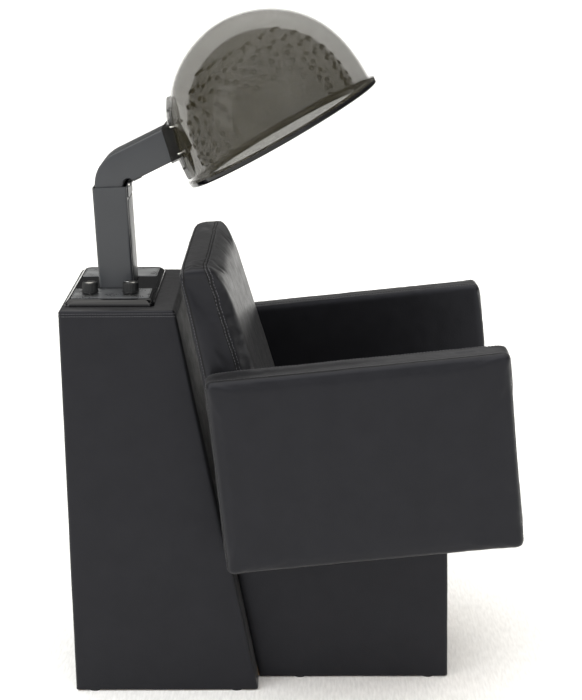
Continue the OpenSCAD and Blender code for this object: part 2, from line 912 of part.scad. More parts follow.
// Outline of the arm duct, moved inwards by t and lengthened by e at its open ends
function arm_outline(t, e) =
    let (low = arm_duct_gap + t, n = notch_r + t, end = elbow_end + (e > 0 ? 4 : 0))
    concat(
        [[arm_end + e, elbow_r - t]],
        arc(elbow_r - t, 90, end, 14),
        arc(n, end, asin(low / n), 8),
        [[arm_end + e, low]]
    );
module post_duct() {
    color(steel)
        post_frame()
            translate([0, 0, -post_tail])
                difference() {
                    linear_extrude(post_tail + post_rise)
                        post_section(0);
                    translate([0, 0, -1])
                        linear_extrude(post_tail + post_rise + 2)
                            post_section(-duct_wall);
                }
}
arm_half = arm_duct_width / 2;
module arm_duct() {
    color(steel)
        arm_frame()
            difference() {
                arm_across(-arm_half, arm_half) polygon(arm_outline(0, 0));
                arm_across(duct_wall - arm_half, arm_half - duct_wall)
                    polygon(arm_outline(duct_wall, 5));
            }
}
knuckles = 5;
knuckle_length = hinge_length / knuckles;
leaf_thick = 2;
module knuckle_row(first) {
    for (i = [first : 2 : knuckles - 1])
        translate([-hinge_length / 2 + i * knuckle_length + seat_gap / 2, 0, 0])
            rotate([0, 90, 0])
                cylinder(h = knuckle_length - seat_gap, r = knuckle_r, $fn = small_fn);
}
module knuckle_webs(first, y0, y1, z0, z1) {
    for (i = [first : 2 : knuckles - 1])
        translate([-hinge_length / 2 + i * knuckle_length + seat_gap / 2, y0, z0])
            cube([knuckle_length - seat_gap, y1 - y0, z1 - z0]);
}
module pin_bore() {
    rotate([0, 90, 0])
        cylinder(h = through, r = hinge_pin_r + running_fit, center = true, $fn = small_fn);
}
module hinge_fixed_leaf() {
    leaf_drop = 26;
    back = knuckle_r + hinge_gap;
    color(steel)
        post_frame()
            translate([0, -pin_out, pin_up])
                difference() {
                    union() {
                        knuckle_row(0);
                        knuckle_webs(0, back - leaf_thick, back, -knuckle_r - 2, 0);
                        translate([-hinge_length / 2, back - leaf_thick, -leaf_drop])
                            cube([hinge_length, leaf_thick, leaf_drop - knuckle_r - 1]);
                    }
                    pin_bore();
                }
}
module hinge_moving_leaf() {
    leaf_reach = 28;
    color(steel)
        arm_frame()
            difference() {
                union() {
                    knuckle_row(1);
                    knuckle_webs(1, -notch_r, 0, arm_duct_gap - leaf_thick, arm_duct_gap);
                    translate([-hinge_length / 2, -leaf_reach, arm_duct_gap - leaf_thick])
                        cube([hinge_length, leaf_reach - notch_r + 1, leaf_thick]);
                }
                pin_bore();
            }
}
module hinge_pin() {
    color(bright)
        arm_frame()
            rotate([0, 90, 0])
                cylinder(h = hinge_length + 4, r = hinge_pin_r, center = true, $fn = small_fn);
}

// ---- Hood ----
// Powers that flatten the flank of both shells and fill their shoulders
flank_power = 1.08;
shoulder_power = 0.74;
// Height and radius of a dome of mouth radius a and height h at the angle t
function dome_point(a, h, t) = [a * pow(cos(t), flank_power), h * pow(sin(t), shoulder_power)];
function dome_angle(h, z) = asin(pow(z / h, 1 / shoulder_power));
function dome_radius(a, h, z) = a * pow(cos(dome_angle(h, z)), flank_power);
function dome_slope(a, h, z) = atan((dome_radius(a, h, z - 1) - dome_radius(a, h, z + 1)) / 2);
mount_r = dome_radius(dome_r, dome_height, mount_height);
arm_axis = (elbow_r + arm_duct_gap) / 2;
mount_point = pin_point + turn([arm_reach, arm_axis], arm_duct_tilt);
// The hood's frame: Z is its axis, +Y its rear, and the rim's plane is at zero
module hood_frame() {
    at(0, mount_point[0], mount_point[1])
        rotate([-hood_tilt, 0, 0])
            rotate([0, hood_twist, 0])
                translate([0, -mount_r, -mount_height])
                    children();
}
rim_trim_top = rim_height * 2 / 3;
rim_trim_low = rim_trim_top - rim_height;
dome_steps = 20;
bowl_steps = 16;
function dome_curve(a, h, low, steps) =
    let (t0 = dome_angle(h, low))
    [for (i = [0 : steps])
        i == steps ? [0, h] : dome_point(a, h, t0 + (90 - t0) * i / steps)];
function reversed(list) = [for (i = [len(list) - 1 : -1 : 0]) list[i]];
module dome_shell(a, h, wall, low, steps, flange_r) {
    rotate_extrude($fn = 96)
        polygon(concat(
            [[flange_r, low], [flange_r, low + wall]],
            dome_curve(a, h, low + wall, steps),
            reversed(dome_curve(a - wall, h - wall, low, steps))
        ));
}
module dome_solid(grow) {
    rotate_extrude($fn = 96)
        polygon(concat(
            [[0, -through]], [[dome_r + grow, -through]],
            dome_curve(dome_r + grow, dome_height + grow, 1, 2 * dome_steps)
        ));
}
// All of the hood's frame below a height
module below_hood(height) {
    hood_frame()
        translate([0, 0, height - through])
            cylinder(h = through, r = through);
}
// Places children on a dome's outside at a height and an azimuth from its rear, Z outwards
module on_dome(z, azimuth, lift = 0) {
    slope = dome_slope(dome_r, dome_height, z);
    rotate([0, 0, azimuth])
        translate([0, dome_radius(dome_r, dome_height, z), z])
            rotate([slope - 90, 0, 0])
                translate([0, 0, lift])
                    children();
}
saddle_r = 56;
saddle_straight = 54;
saddle_plate = 6;
saddle_wall = 3;
flange_plate = 3;
flange_inset = 2;
hood_screw_r = 2;
hood_screw_head = 2;
hood_screw_head_r = 4;
// Screws as [share of the mount's height, azimuth]
hood_screw_places = [for (z = [0.4, 1.58], a = [-9, 9]) [z, a]];
hood_screw_sides = [for (z = [0.73, 1.27], a = [-18.5, 18.5]) [z, a]];
module each_hood_screw(lift) {
    for (p = concat(hood_screw_places, hood_screw_sides))
        on_dome(p[0] * mount_height, p[1], lift)
            children();
}
module saddle_frame() {
    hood_frame()
        on_dome(mount_height, 0)
            children();
}
// The space that the arm duct takes where it enters the hood, grown on all sides
module arm_passage(grow) {
    arm_frame()
        translate([0, -arm_end / 2, arm_axis])
            cube([arm_duct_width, arm_end + saddle_r, elbow_r - arm_duct_gap] + 2 * grow * [1, 1, 1],
                center = true);
}
module hood_screw_holes() {
    hood_frame()
        each_hood_screw(0)
            cylinder(h = saddle_r, r = hood_screw_r + running_fit, center = true, $fn = wire_fn);
}
// A boss on the dome's rear, between two depths of its own frame
module saddle_boss(r, low, high) {
    saddle_frame()
        translate([0, 0, low])
            linear_extrude(high - low)
                stadium(r, saddle_straight);
}
module hood_saddle() {
    collar = 6;
    color(smoke)
        difference() {
            union() {
                intersection() {
                    saddle_boss(saddle_r, -saddle_r, saddle_r);
                    hood_frame() dome_solid(saddle_plate);
                }
                intersection() {
                    arm_passage(saddle_wall);
                    saddle_boss(saddle_r, -saddle_r / 2, saddle_plate + collar);
                }
            }
            hood_frame() dome_solid(seat_gap / 2);
            below_hood(rim_trim_top + dome_wall + seat_gap);
            arm_passage(seat_gap / 2);
            hood_screw_holes();
        }
}
module hood_flange() {
    color(gloss_black)
        difference() {
            intersection() {
                saddle_boss(saddle_r - flange_inset, -saddle_r, saddle_plate);
                hood_frame() dome_solid(-dome_wall - 2 * seat_gap);
            }
            hood_frame() dome_solid(-dome_wall - 2 * seat_gap - flange_plate);
            below_hood(rim_trim_top + bowl_wall + 2 * seat_gap);
            arm_passage(seat_gap / 2);
            hood_screw_holes();
        }
}
module hood_screws() {
    grip = 6;
    depth_in = hood_screw_head + 5 * seat_gap;
    color(bright)
        hood_frame()
            each_hood_screw(-dome_wall - flange_plate - depth_in) {
                cylinder(h = hood_screw_head, r = hood_screw_head_r, $fn = small_fn);
                cylinder(h = depth_in + dome_wall + flange_plate + grip, r = hood_screw_r,
                    $fn = wire_fn);
            }
}
module outer_dome() {
    color(smoke)
        difference() {
            hood_frame()
                dome_shell(dome_r, dome_height, dome_wall, rim_trim_top, dome_steps, rim_r);
            arm_passage(seat_gap / 2);
            hood_screw_holes();
        }
}
// Heights of the full rings of air holes, then of the part rings below them
air_rows = [for (share = [0.514, 0.643, 0.754, 0.867]) share * bowl_height];
low_rows = [for (share = [0.133, 0.2, 0.31, 0.415]) share * bowl_height];
// Sectors of the part rings as [first azimuth, last azimuth, holes]
low_sectors = [[-57, 57, 6], [137, 223, 5]];
module air_hole(z, azimuth) {
    slope = dome_slope(bowl_r, bowl_height, z);
    rotate([0, 0, azimuth])
        translate([0, dome_radius(bowl_r, bowl_height, z), z])
            rotate([slope - 90, 0, 0])
                cylinder(h = 24, r = air_hole_r, center = true, $fn = 16);
}
module air_holes() {
    for (i = [0 : len(air_rows) - 1])
        let (z = air_rows[i], ring = 2 * PI * dome_radius(bowl_r, bowl_height, z))
        let (n = floor(ring / air_hole_pitch))
        for (k = [0 : n - 1])
            air_hole(z, 360 * (k + (i + 1) % 2 / 2) / n);
    for (z = low_rows, s = low_sectors, k = [0 : s[2] - 1])
        air_hole(z, s[0] + (s[1] - s[0]) * k / (s[2] - 1));
}
module inner_bowl() {
    color(smoke_dark)
        hood_frame()
            difference() {
                dome_shell(bowl_r, bowl_height, bowl_wall, rim_trim_top, bowl_steps,
                    dome_r - dome_wall - seat_gap);
                air_holes();
            }
}
module rim_trim() {
    edge = 2.5;
    inner = bowl_r - bowl_wall - 2;
    outer = rim_r - 1.5;
    color(gloss_black)
        hood_frame()
            rotate_extrude($fn = 96)
                polygon([
                    [inner, rim_trim_low + edge], [inner + edge, rim_trim_low],
                    [outer - edge, rim_trim_low], [outer, rim_trim_low + edge],
                    [outer, rim_trim_top], [inner, rim_trim_top]
                ]);
}

// ---- Seat unit ----
cushion_gap = 1.5;
deck_top = -seat_drop - seat_thick;
back_drop = seat_drop + 1;
base_under = -arm_depth;
rail_low = base_under + base_board;
deck_low = rail_low + rail_height;
unit_half = inner_half - seat_gap;
rail_width = 30;
seat_front = arm_length - 10;
apron = 7;
// The backrest's rear plane in the raked frame, at a height up
back_origin = -8.6;
function back_rear(up) = back_origin - up * tan(back_lean);
back_board_in = 12;
function board_front(up) = back_rear(up) + (back_board_in + back_board_thick) / cos(back_lean);
function board_rear(up) = back_rear(up) + back_board_in / cos(back_lean);
seat_rear = board_front(deck_top) + 3;
rail_rear = board_front(rail_low) + seat_gap / 3;

// Foam over the edges of an arm's core, rounding of its edges, crown, belly and drawn-in sides
arm_foam = 15;
arm_edge = 9;
arm_crown = 3;
arm_belly = 1.2;
arm_bow = 1.5;
arm_middle = [-inner_half - arm_thick / 2, -arm_length / 2, -arm_depth / 2];
core_size = [arm_core, arm_length - 2 * arm_foam, arm_depth - 2 * arm_foam];
module arm_pad() {
    raked()
        difference() {
            translate([-inner_half, -arm_length / 2, -arm_depth / 2])
                rotate([90, 0, -90])
                    padded_panel(arm_length, arm_depth, arm_thick, arm_round, arm_edge, 0,
                        arm_crown, arm_belly, arm_bow);
            translate(arm_middle)
                cube(core_size + seat_gap * [1, 1, 1], center = true);
            arm_bolt_holes(0.5);
        }
}
module arm_core_board() {
    raked()
        difference() {
            translate(arm_middle)
                cube(core_size, center = true);
            arm_bolt_holes(running_fit);
        }
}
module right_arm_pad() {
    color(vinyl) arm_pad();
}
module left_arm_pad() {
    color(vinyl) mirror([1, 0, 0]) arm_pad();
}
module right_arm_core() {
    color(plywood) arm_core_board();
}
module left_arm_core() {
    color(plywood) mirror([1, 0, 0]) arm_core_board();
}

bolt_r = 4;
arm_bolts = [0.25, 0.55, 0.85];
bolt_mid = (rail_low + deck_low) / 2;
module arm_bolt_places() {
    for (f = arm_bolts)
        translate([-inner_half, -f * arm_length, bolt_mid])
            children();
}
// Bores across an arm and the rail beside it
module arm_bolt_holes(play) {
    arm_bolt_places()
        rotate([0, 90, 0])
            cylinder(h = 3 * rail_width, r = bolt_r + play, center = true, $fn = small_fn);
}
module base_bolt_holes() {
    base_bolt_places()
        cylinder(h = through / 2, r = bolt_r + running_fit, center = true, $fn = small_fn);
}
board_front_edge = seat_front - apron;
rail_inner = unit_half - rail_width;
module seat_rails() {
    color(plywood)
        difference() {
            union() {
                for (x = [-unit_half, rail_inner])
                    raked_box([x, x + rail_width], [rail_rear, board_front_edge], [rail_low, deck_low]);
                for (y = [rail_rear, board_front_edge - rail_width])
                    raked_box([-rail_inner, rail_inner], [y, y + rail_width], [rail_low, deck_low]);
            }
            raked()
                for (m = [0, 1])
                    mirror([m, 0, 0])
                        arm_bolt_holes(running_fit);
        }
}
module seat_base_board() {
    color(plywood)
        difference() {
            raked_box([-unit_half, unit_half], [seat_rear, board_front_edge], [base_under, rail_low]);
            base_bolt_holes();
        }
}
module seat_deck() {
    color(plywood)
        raked_box([-unit_half, unit_half], [seat_rear, board_front_edge], [deck_low, deck_top]);
}
apron_half = unit_half - cushion_gap;
module seat_apron() {
    color(vinyl)
        raked_box([-apron_half, apron_half], [board_front_edge, seat_front],
            [base_under, deck_top - seat_gap]);
}
cushion_width = 2 * (inner_half - cushion_gap);
module seat_cushion() {
    length = seat_front - seat_rear;
    sunk = 20;
    corner = 22;
    edge = 16;
    color(vinyl)
        raked()
            intersection() {
                translate([0, -(seat_front + seat_rear) / 2, deck_top - sunk])
                    padded_panel(cushion_width, length, seat_thick + sunk, corner, edge, 0,
                        seat_crown, 2, 2);
                translate([-through, -2 * through, deck_top])
                    cube([2 * through, 2 * through, through]);
            }
}

// The backrest's frame: Z runs up its rear plane, -Y is square to it
module back_frame() {
    raked()
        translate([0, -back_origin, 0])
            rotate([-back_lean, 0, 0])
                children();
}
board_top = back_rise - 30;
back_board_half = unit_half - 16;
// Side view of the back board above a height, grown by a gap
function board_side(low, gap) = [
    [board_rear(low) - gap, low],
    [board_rear(board_top) - gap, board_top + gap],
    [board_front(board_top) + gap, board_top + gap],
    [board_front(low) + gap, low]
];
module back_board() {
    color(plywood)
        raked()
            raked_across(-back_board_half, back_board_half)
                polygon(board_side(rail_low, 0));
}
module back_cushion() {
    sunk = 24;
    corner = 16;
    edge = 14;
    rear_crown = 2;
    bow = 3;
    height = back_rise + back_drop + sunk;
    middle = (back_rise - back_drop - sunk) / 2;
    thick = back_thick * cos(back_lean) - back_taper * middle;
    color(vinyl)
        difference() {
            back_frame()
                translate([0, 0, middle])
                    rotate([90, 0, 0])
                        padded_panel(cushion_width, height, thick, corner, edge, rear_crown,
                            back_crown, 2, bow, back_taper);
            raked()
                translate([-through, -through, -back_drop - through])
                    cube([2 * through, 2 * through, through]);
            raked()
                raked_across(-back_board_half - seat_gap, back_board_half + seat_gap)
                    polygon(board_side(-through, seat_gap));
        }
}
module back_apron() {
    top = -back_drop - 1;
    low = base_under;
    inset = 2;
    color(vinyl)
        raked()
            raked_across(-apron_half, apron_half)
                polygon([
                    [back_rear(low) + inset, low], [back_rear(top) + inset, top],
                    [board_rear(top), top], [board_rear(low), low]
                ]);
}

// ---- Plinth ----
// Height of the raked plane under the seat at a distance forward
function seat_under_at(forward) =
    arm_rise + base_under / cos(rake) + (forward - arm_start) * tan(rake);
plinth_rear_foot = cabinet_front_at(glide_height);
plinth_rear_top = (arm_rise + base_under / cos(rake) - arm_start * tan(rake)
    + (cabinet_top_depth + cabinet_height * front_slope) * tan(rake)) / (1 + front_slope * tan(rake));
// Distance forward of the plinth's front at a height, moved inwards by a thickness
function plinth_front_at(z, inset) =
    plinth_front - (z - glide_height) * tan(plinth_lean) - inset / cos(plinth_lean);
// Where the plinth's front meets the raked underside, moved inwards by a thickness
function plinth_front_head(inset) =
    let (lean = tan(plinth_lean), rise = tan(rake))
    let (z = (seat_under_at(0) + rise * plinth_front_at(0, inset)) / (1 + lean * rise))
    [plinth_front_at(z, inset), z];
plinth_outline = [
    [plinth_rear_foot, glide_height],
    [cabinet_front_at(plinth_rear_top), plinth_rear_top],
    plinth_front_head(0),
    [plinth_front, glide_height]
];
plinth_boards = [
    plinth_outline[0], plinth_outline[1],
    plinth_front_head(skin), [plinth_front_at(glide_height, skin), glide_height]
];
plinth_board_half = plinth_half - skin;
module plinth_side_panel() {
    across(plinth_board_half - board, plinth_board_half)
        polygon(plinth_boards);
}
module plinth_right_panel() {
    color(plywood) mirror([1, 0, 0]) plinth_side_panel();
}
module plinth_left_panel() {
    color(plywood) plinth_side_panel();
}
module plinth_front_panel() {
    color(plywood)
        difference() {
            across(board - plinth_board_half, plinth_board_half - board)
                polygon([
                    [plinth_front_at(glide_height, skin + board), glide_height],
                    plinth_front_head(skin + board), plinth_boards[2], plinth_boards[3]
                ]);
            base_bolt_holes();
        }
}
module plinth_rear_panel() {
    step = board * norm([1, front_slope]);
    color(plywood)
        across(board - plinth_board_half, plinth_board_half - board)
            polygon([
                plinth_outline[0], plinth_outline[1],
                [plinth_outline[1][0] + step, plinth_outline[1][1] + step * tan(rake)],
                [plinth_outline[0][0] + step, glide_height]
            ]);
}
module plinth_cover() {
    // How far the blank runs past the plinth before it is cut to length, and its hollow past that
    spare = 60;
    low = -spare;
    high = plinth_outline[2][1] + spare;
    rear = plinth_outline[0][0] - 2 * spare;
    ahead = plinth_outline[3][0] + spare;
    hollow_in = skin - seat_gap / 3;
    color(vinyl)
        intersection() {
            difference() {
                soft_block([[rear, low], [rear, high], [plinth_front_at(high, 0), high],
                    [plinth_front_at(low, 0), low]], plinth_half, skin_edge);
                across(-plinth_board_half, plinth_board_half)
                    polygon([
                        [rear - spare, 2 * low], [rear - spare, high + spare],
                        [plinth_front_at(high + spare, hollow_in), high + spare],
                        [plinth_front_at(2 * low, hollow_in), 2 * low]
                    ]);
            }
            across(-plinth_half, plinth_half)
                polygon([
                    plinth_outline[0], plinth_outline[1],
                    [ahead, seat_under_at(ahead)], [ahead, glide_height]
                ]);
        }
}

// ---- Bolts of the chair ----
bolt_head_r = 7;
bolt_head = 5;
base_bolt_grip = base_board + 30;
base_bolt_side = plinth_board_half - 2.5 * board;
// Distance along the arms of the middle of the plinth's front board
base_bolt_along =
    (plinth_boards[2][0] - board / 2 - arm_start + base_under * sin(rake)) / cos(rake);
module base_bolt_places() {
    for (x = [-1, 1] * base_bolt_side)
        raked()
            translate([x, -base_bolt_along, rail_low])
                children();
}
module chair_bolts() {
    core_reach = arm_thick / 2;
    rail_face = rail_width + seat_gap;
    color(bright) {
        raked()
            for (m = [0, 1])
                mirror([m, 0, 0])
                    arm_bolt_places()
                        rotate([0, 90, 0]) {
                            translate([0, 0, -core_reach])
                                cylinder(h = core_reach + rail_face, r = bolt_r, $fn = small_fn);
                            translate([0, 0, rail_face])
                                cylinder(h = bolt_head, r = bolt_head_r, $fn = 6);
                        }
        base_bolt_places() {
            cylinder(h = bolt_head, r = bolt_head_r, $fn = 6);
            translate([0, 0, -base_bolt_grip])
                cylinder(h = base_bolt_grip, r = bolt_r, $fn = small_fn);
        }
    }
}

cabinet_left_panel();
cabinet_right_panel();
cabinet_front_panel();
cabinet_back_panel();
cabinet_top_panel();
cabinet_bottom_panel();
cabinet_cover();
service_cover();
glides();
panel_screws();
blower_shelf();
blower_housing();
fan_motor();
motor_shaft();
fan_wheel();
heater_box();
heating_element();
wiring_loom();
cord_gland();
post_mount_plate();
control_tray();
dial_plate();
bare_plate();
timer_body();
heat_switch();
timer_shaft();
heat_shaft();
timer_knob();
heat_knob();
post_duct();
hinge_fixed_leaf();
hinge_moving_leaf();
hinge_pin();
arm_duct();
hood_saddle();
hood_flange();
hood_screws();
outer_dome();
inner_bowl();
rim_trim();
left_arm_core();
right_arm_core();
left_arm_pad();
right_arm_pad();
seat_rails();
seat_base_board();
seat_deck();
seat_cushion();
seat_apron();
back_board();
back_cushion();
back_apron();
chair_bolts();
plinth_left_panel();
plinth_right_panel();
plinth_front_panel();
plinth_rear_panel();
plinth_cover();
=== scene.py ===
"""Looks of a salon dryer chair: upholstery, tray, ducts and smoked hood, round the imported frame."""

import json
import logging
import math
from dataclasses import dataclass
from enum import Enum
from typing import Callable, Optional, Sequence

import bmesh
import bpy
from mathutils import Matrix, Vector, noise
from mathutils.bvhtree import BVHTree
from mathutils.kdtree import KDTree


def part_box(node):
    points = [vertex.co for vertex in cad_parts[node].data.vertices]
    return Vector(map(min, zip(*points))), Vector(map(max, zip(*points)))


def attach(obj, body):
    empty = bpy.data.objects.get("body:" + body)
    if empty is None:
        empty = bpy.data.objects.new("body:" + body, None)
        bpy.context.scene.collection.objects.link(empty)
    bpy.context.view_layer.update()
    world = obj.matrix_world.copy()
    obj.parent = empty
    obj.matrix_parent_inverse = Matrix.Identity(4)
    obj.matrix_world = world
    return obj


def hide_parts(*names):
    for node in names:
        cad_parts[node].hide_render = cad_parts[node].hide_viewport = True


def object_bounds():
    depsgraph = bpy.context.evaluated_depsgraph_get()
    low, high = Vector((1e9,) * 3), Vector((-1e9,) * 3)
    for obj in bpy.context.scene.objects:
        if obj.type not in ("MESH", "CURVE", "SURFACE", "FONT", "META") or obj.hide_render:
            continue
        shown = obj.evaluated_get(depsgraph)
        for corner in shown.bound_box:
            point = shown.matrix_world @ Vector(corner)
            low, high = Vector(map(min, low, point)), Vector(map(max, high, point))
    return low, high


LOG = logging.getLogger("dryer_chair")
MM = 0.001
IMAGE_SIZE = (582, 700)

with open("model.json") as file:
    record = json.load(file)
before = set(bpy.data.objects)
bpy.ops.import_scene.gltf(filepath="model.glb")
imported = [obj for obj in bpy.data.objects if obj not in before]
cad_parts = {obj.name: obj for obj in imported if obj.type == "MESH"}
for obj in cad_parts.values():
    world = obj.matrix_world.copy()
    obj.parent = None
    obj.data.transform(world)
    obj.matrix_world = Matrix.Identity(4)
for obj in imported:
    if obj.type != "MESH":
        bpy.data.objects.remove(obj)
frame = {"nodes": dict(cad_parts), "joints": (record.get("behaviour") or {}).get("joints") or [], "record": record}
CAD_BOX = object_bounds()

Tree = bpy.types.NodeTree
Node = bpy.types.Node
Mesh = bpy.types.Object
Test = Callable[[object], bool]


# ---------------------------------------------------------------- small tools
def linear(code: str, alpha: float = 1.0) -> tuple[float, float, float, float]:
    """Turns an sRGB hex colour into linear light.

    Args:
        code: six hex digits after a hash.
        alpha: the fourth value.

    Returns:
        Red, green, blue and alpha.
    """
    values = [int(code[i:i + 2], 16) / 255 for i in (1, 3, 5)]
    light = [v / 12.92 if v <= 0.04045 else ((v + 0.055) / 1.055) ** 2.4 for v in values]
    return (light[0], light[1], light[2], alpha)


def mm(*values: float) -> tuple[float, ...]:
    """Turns millimetres into metres."""
    return tuple(value * MM for value in values)


def quarter(steps: int, first: int = 0) -> list[float]:
    """Angles from zero to a right angle in even steps, from a given step on."""
    return [math.pi / 2 * k / steps for k in range(first, steps + 1)]


def add_node(tree: Tree, kind: str, values: Optional[dict] = None,
             links: Optional[dict] = None, **settings: object) -> Node:
    """Adds one shader node.

    Args:
        tree: the node tree.
        kind: the node's type name.
        values: input name or number to constant.
        links: input name or number to the output socket that feeds it.
        **settings: properties of the node itself.

    Returns:
        The new node.
    """
    made = tree.nodes.new(kind)
    for name, value in settings.items():
        setattr(made, name, value)
    for name, value in (values or {}).items():
        made.inputs[name].default_value = value
    for name, socket in (links or {}).items():
        tree.links.new(socket, made.inputs[name])
    return made


def ramp(tree: Tree, source: bpy.types.NodeSocket, stops: Sequence[tuple[float, tuple]]) -> Node:
    """Adds a colour ramp.

    Args:
        tree: the node tree.
        source: what drives the ramp.
        stops: position and linear colour of each stop, from low to high.

    Returns:
        The ramp node.
    """
    made = add_node(tree, "ShaderNodeValToRGB", links={"Fac": source})
    band = made.color_ramp
    band.elements[0].position, band.elements[0].color = stops[0]
    band.elements[1].position, band.elements[1].color = stops[-1]
    for place, colour in stops[1:-1]:
        band.elements.new(place).color = colour
    return made


def only(obj: Mesh) -> None:
    """Leaves one object selected and active, in object mode."""
    if bpy.context.object and bpy.context.object.mode != "OBJECT":
        bpy.ops.object.mode_set(mode="OBJECT")
    bpy.ops.object.select_all(action="DESELECT")
    obj.select_set(True)
    bpy.context.view_layer.objects.active = obj


def edit(obj: Mesh, kind: str, test: Test, operator: Callable, **options: object) -> None:
    """Runs one edit-mode operator on the elements that pass a test.

    Args:
        obj: the mesh object.
        kind: VERT, EDGE or FACE.
        test: which elements are selected.
        operator: the operator to run.
        **options: the operator's settings.
    """
    only(obj)
    bpy.ops.object.mode_set(mode="EDIT")
    bpy.ops.mesh.select_mode(type=kind)
    bpy.ops.mesh.select_all(action="DESELECT")
    data = bmesh.from_edit_mesh(obj.data)
    for item in {"VERT": data.verts, "EDGE": data.edges, "FACE": data.faces}[kind]:
        if test(item):
            item.select_set(True)
    data.select_flush_mode()
    bmesh.update_edit_mesh(obj.data)
    operator(**options)
    bpy.ops.object.mode_set(mode="OBJECT")


def outward(obj: Mesh) -> None:
    """Turns every face outwards."""
    edit(obj, "FACE", lambda f: True, bpy.ops.mesh.normals_make_consistent, inside=False)


def bevelled(obj: Mesh, test: Test, width_mm: float, segments: int) -> None:
    """Rounds the edges that pass a test."""
    edit(obj, "EDGE", test, bpy.ops.mesh.bevel, offset=width_mm * MM, segments=segments)


def modify(obj: Mesh, kind: str, **settings: object) -> None:
    """Adds a modifier with its settings and applies it."""
    only(obj)
    made = obj.modifiers.new(kind.lower(), kind)
    for name, value in settings.items():
        setattr(made, name, value)
    bpy.ops.object.modifier_apply(modifier=made.name)


def settle(obj: Mesh, name: str) -> Mesh:
    """Names an object and puts its place into its mesh."""
    only(obj)
    bpy.ops.object.transform_apply(location=True, rotation=True, scale=True)
    obj.name = obj.data.name = name
    return obj


def block(name: str, low: Sequence[float], high: Sequence[float]) -> Mesh:
    """Adds a box between two corners, in metres."""
    middle = [(a + b) / 2 for a, b in zip(low, high)]
    bpy.ops.object.select_all(action="DESELECT")
    bpy.ops.mesh.primitive_cube_add(size=1, location=middle)
    obj = bpy.context.object
    obj.scale = [b - a for a, b in zip(low, high)]
    return settle(obj, name)


def drum(name: str, radius: float, depth: float, sides: int = 64) -> Mesh:
    """Adds a cylinder that stands on the origin, in metres."""
    bpy.ops.object.select_all(action="DESELECT")
    bpy.ops.mesh.primitive_cylinder_add(vertices=sides, radius=radius, depth=depth,
                                        location=(0, 0, depth / 2))
    return settle(bpy.context.object, name)


def mesh_object(name: str, points: Sequence, edges: Sequence, faces: Sequence) -> Mesh:
    """Makes an object from points, edges and faces in metres."""
    data = bpy.data.meshes.new(name)
    data.from_pydata([tuple(p) for p in points], list(edges), list(faces))
    data.update()
    obj = bpy.data.objects.new(name, data)
    bpy.context.scene.collection.objects.link(obj)
    return obj


def spun(name: str, profile: Sequence[tuple[float, float]], steps: int = 144) -> Mesh:
    """Turns a profile of [radius, height] about Z and closes it.

    Args:
        name: the object's name.
        profile: points in metres, from the mouth to the pole or back round to the start.
        steps: segments round the axis.

    Returns:
        The turned mesh.
    """
    obj = mesh_object(name, [(r, 0, z) for r, z in profile],
                      [(i, i + 1) for i in range(len(profile) - 1)], [])
    edit(obj, "VERT", lambda v: True, bpy.ops.mesh.spin, steps=steps, angle=2 * math.pi,
         center=(0, 0, 0), axis=(0, 0, 1))
    edit(obj, "VERT", lambda v: True, bpy.ops.mesh.remove_doubles, threshold=1e-6)
    outward(obj)
    return obj


def joined(name: str, parts: Sequence[Mesh]) -> Mesh:
    """Joins objects into one."""
    only(parts[0])
    for part in parts[1:]:
        part.select_set(True)
    bpy.ops.object.join()
    obj = bpy.context.object
    obj.name = obj.data.name = name
    return obj


def copied(obj: Mesh, place: Matrix) -> Mesh:
    """Copies an object with its own mesh and moves that mesh."""
    twin = obj.copy()
    twin.data = obj.data.copy()
    bpy.context.scene.collection.objects.link(twin)
    twin.data.transform(place)
    return twin


def removed(obj: Mesh) -> None:
    """Deletes an object that was only a tool."""
    bpy.data.objects.remove(obj, do_unlink=True)


def cut(obj: Mesh, tool: Mesh) -> None:
    """Cuts one object with another and deletes the tool."""
    modify(obj, "BOOLEAN", operation="DIFFERENCE", object=tool, solver="EXACT")
    removed(tool)


def smooth(obj: Mesh, angle: float = 35.0) -> None:
    """Shades an object smooth up to an angle in degrees."""
    only(obj)
    bpy.ops.object.shade_smooth_by_angle(angle=math.radians(angle), keep_sharp_edges=False)


def turned(axis: str, degrees: float) -> Matrix:
    """A turn about one axis."""
    return Matrix.Rotation(math.radians(degrees), 4, axis)


def placed(x: float, forward: float, z: float) -> Matrix:
    """A move to a place given as X, distance forward of the rear and height, in millimetres."""
    return Matrix.Translation((x * MM, REAR - forward * MM, z * MM))


REAR = CAD_BOX[1][1]


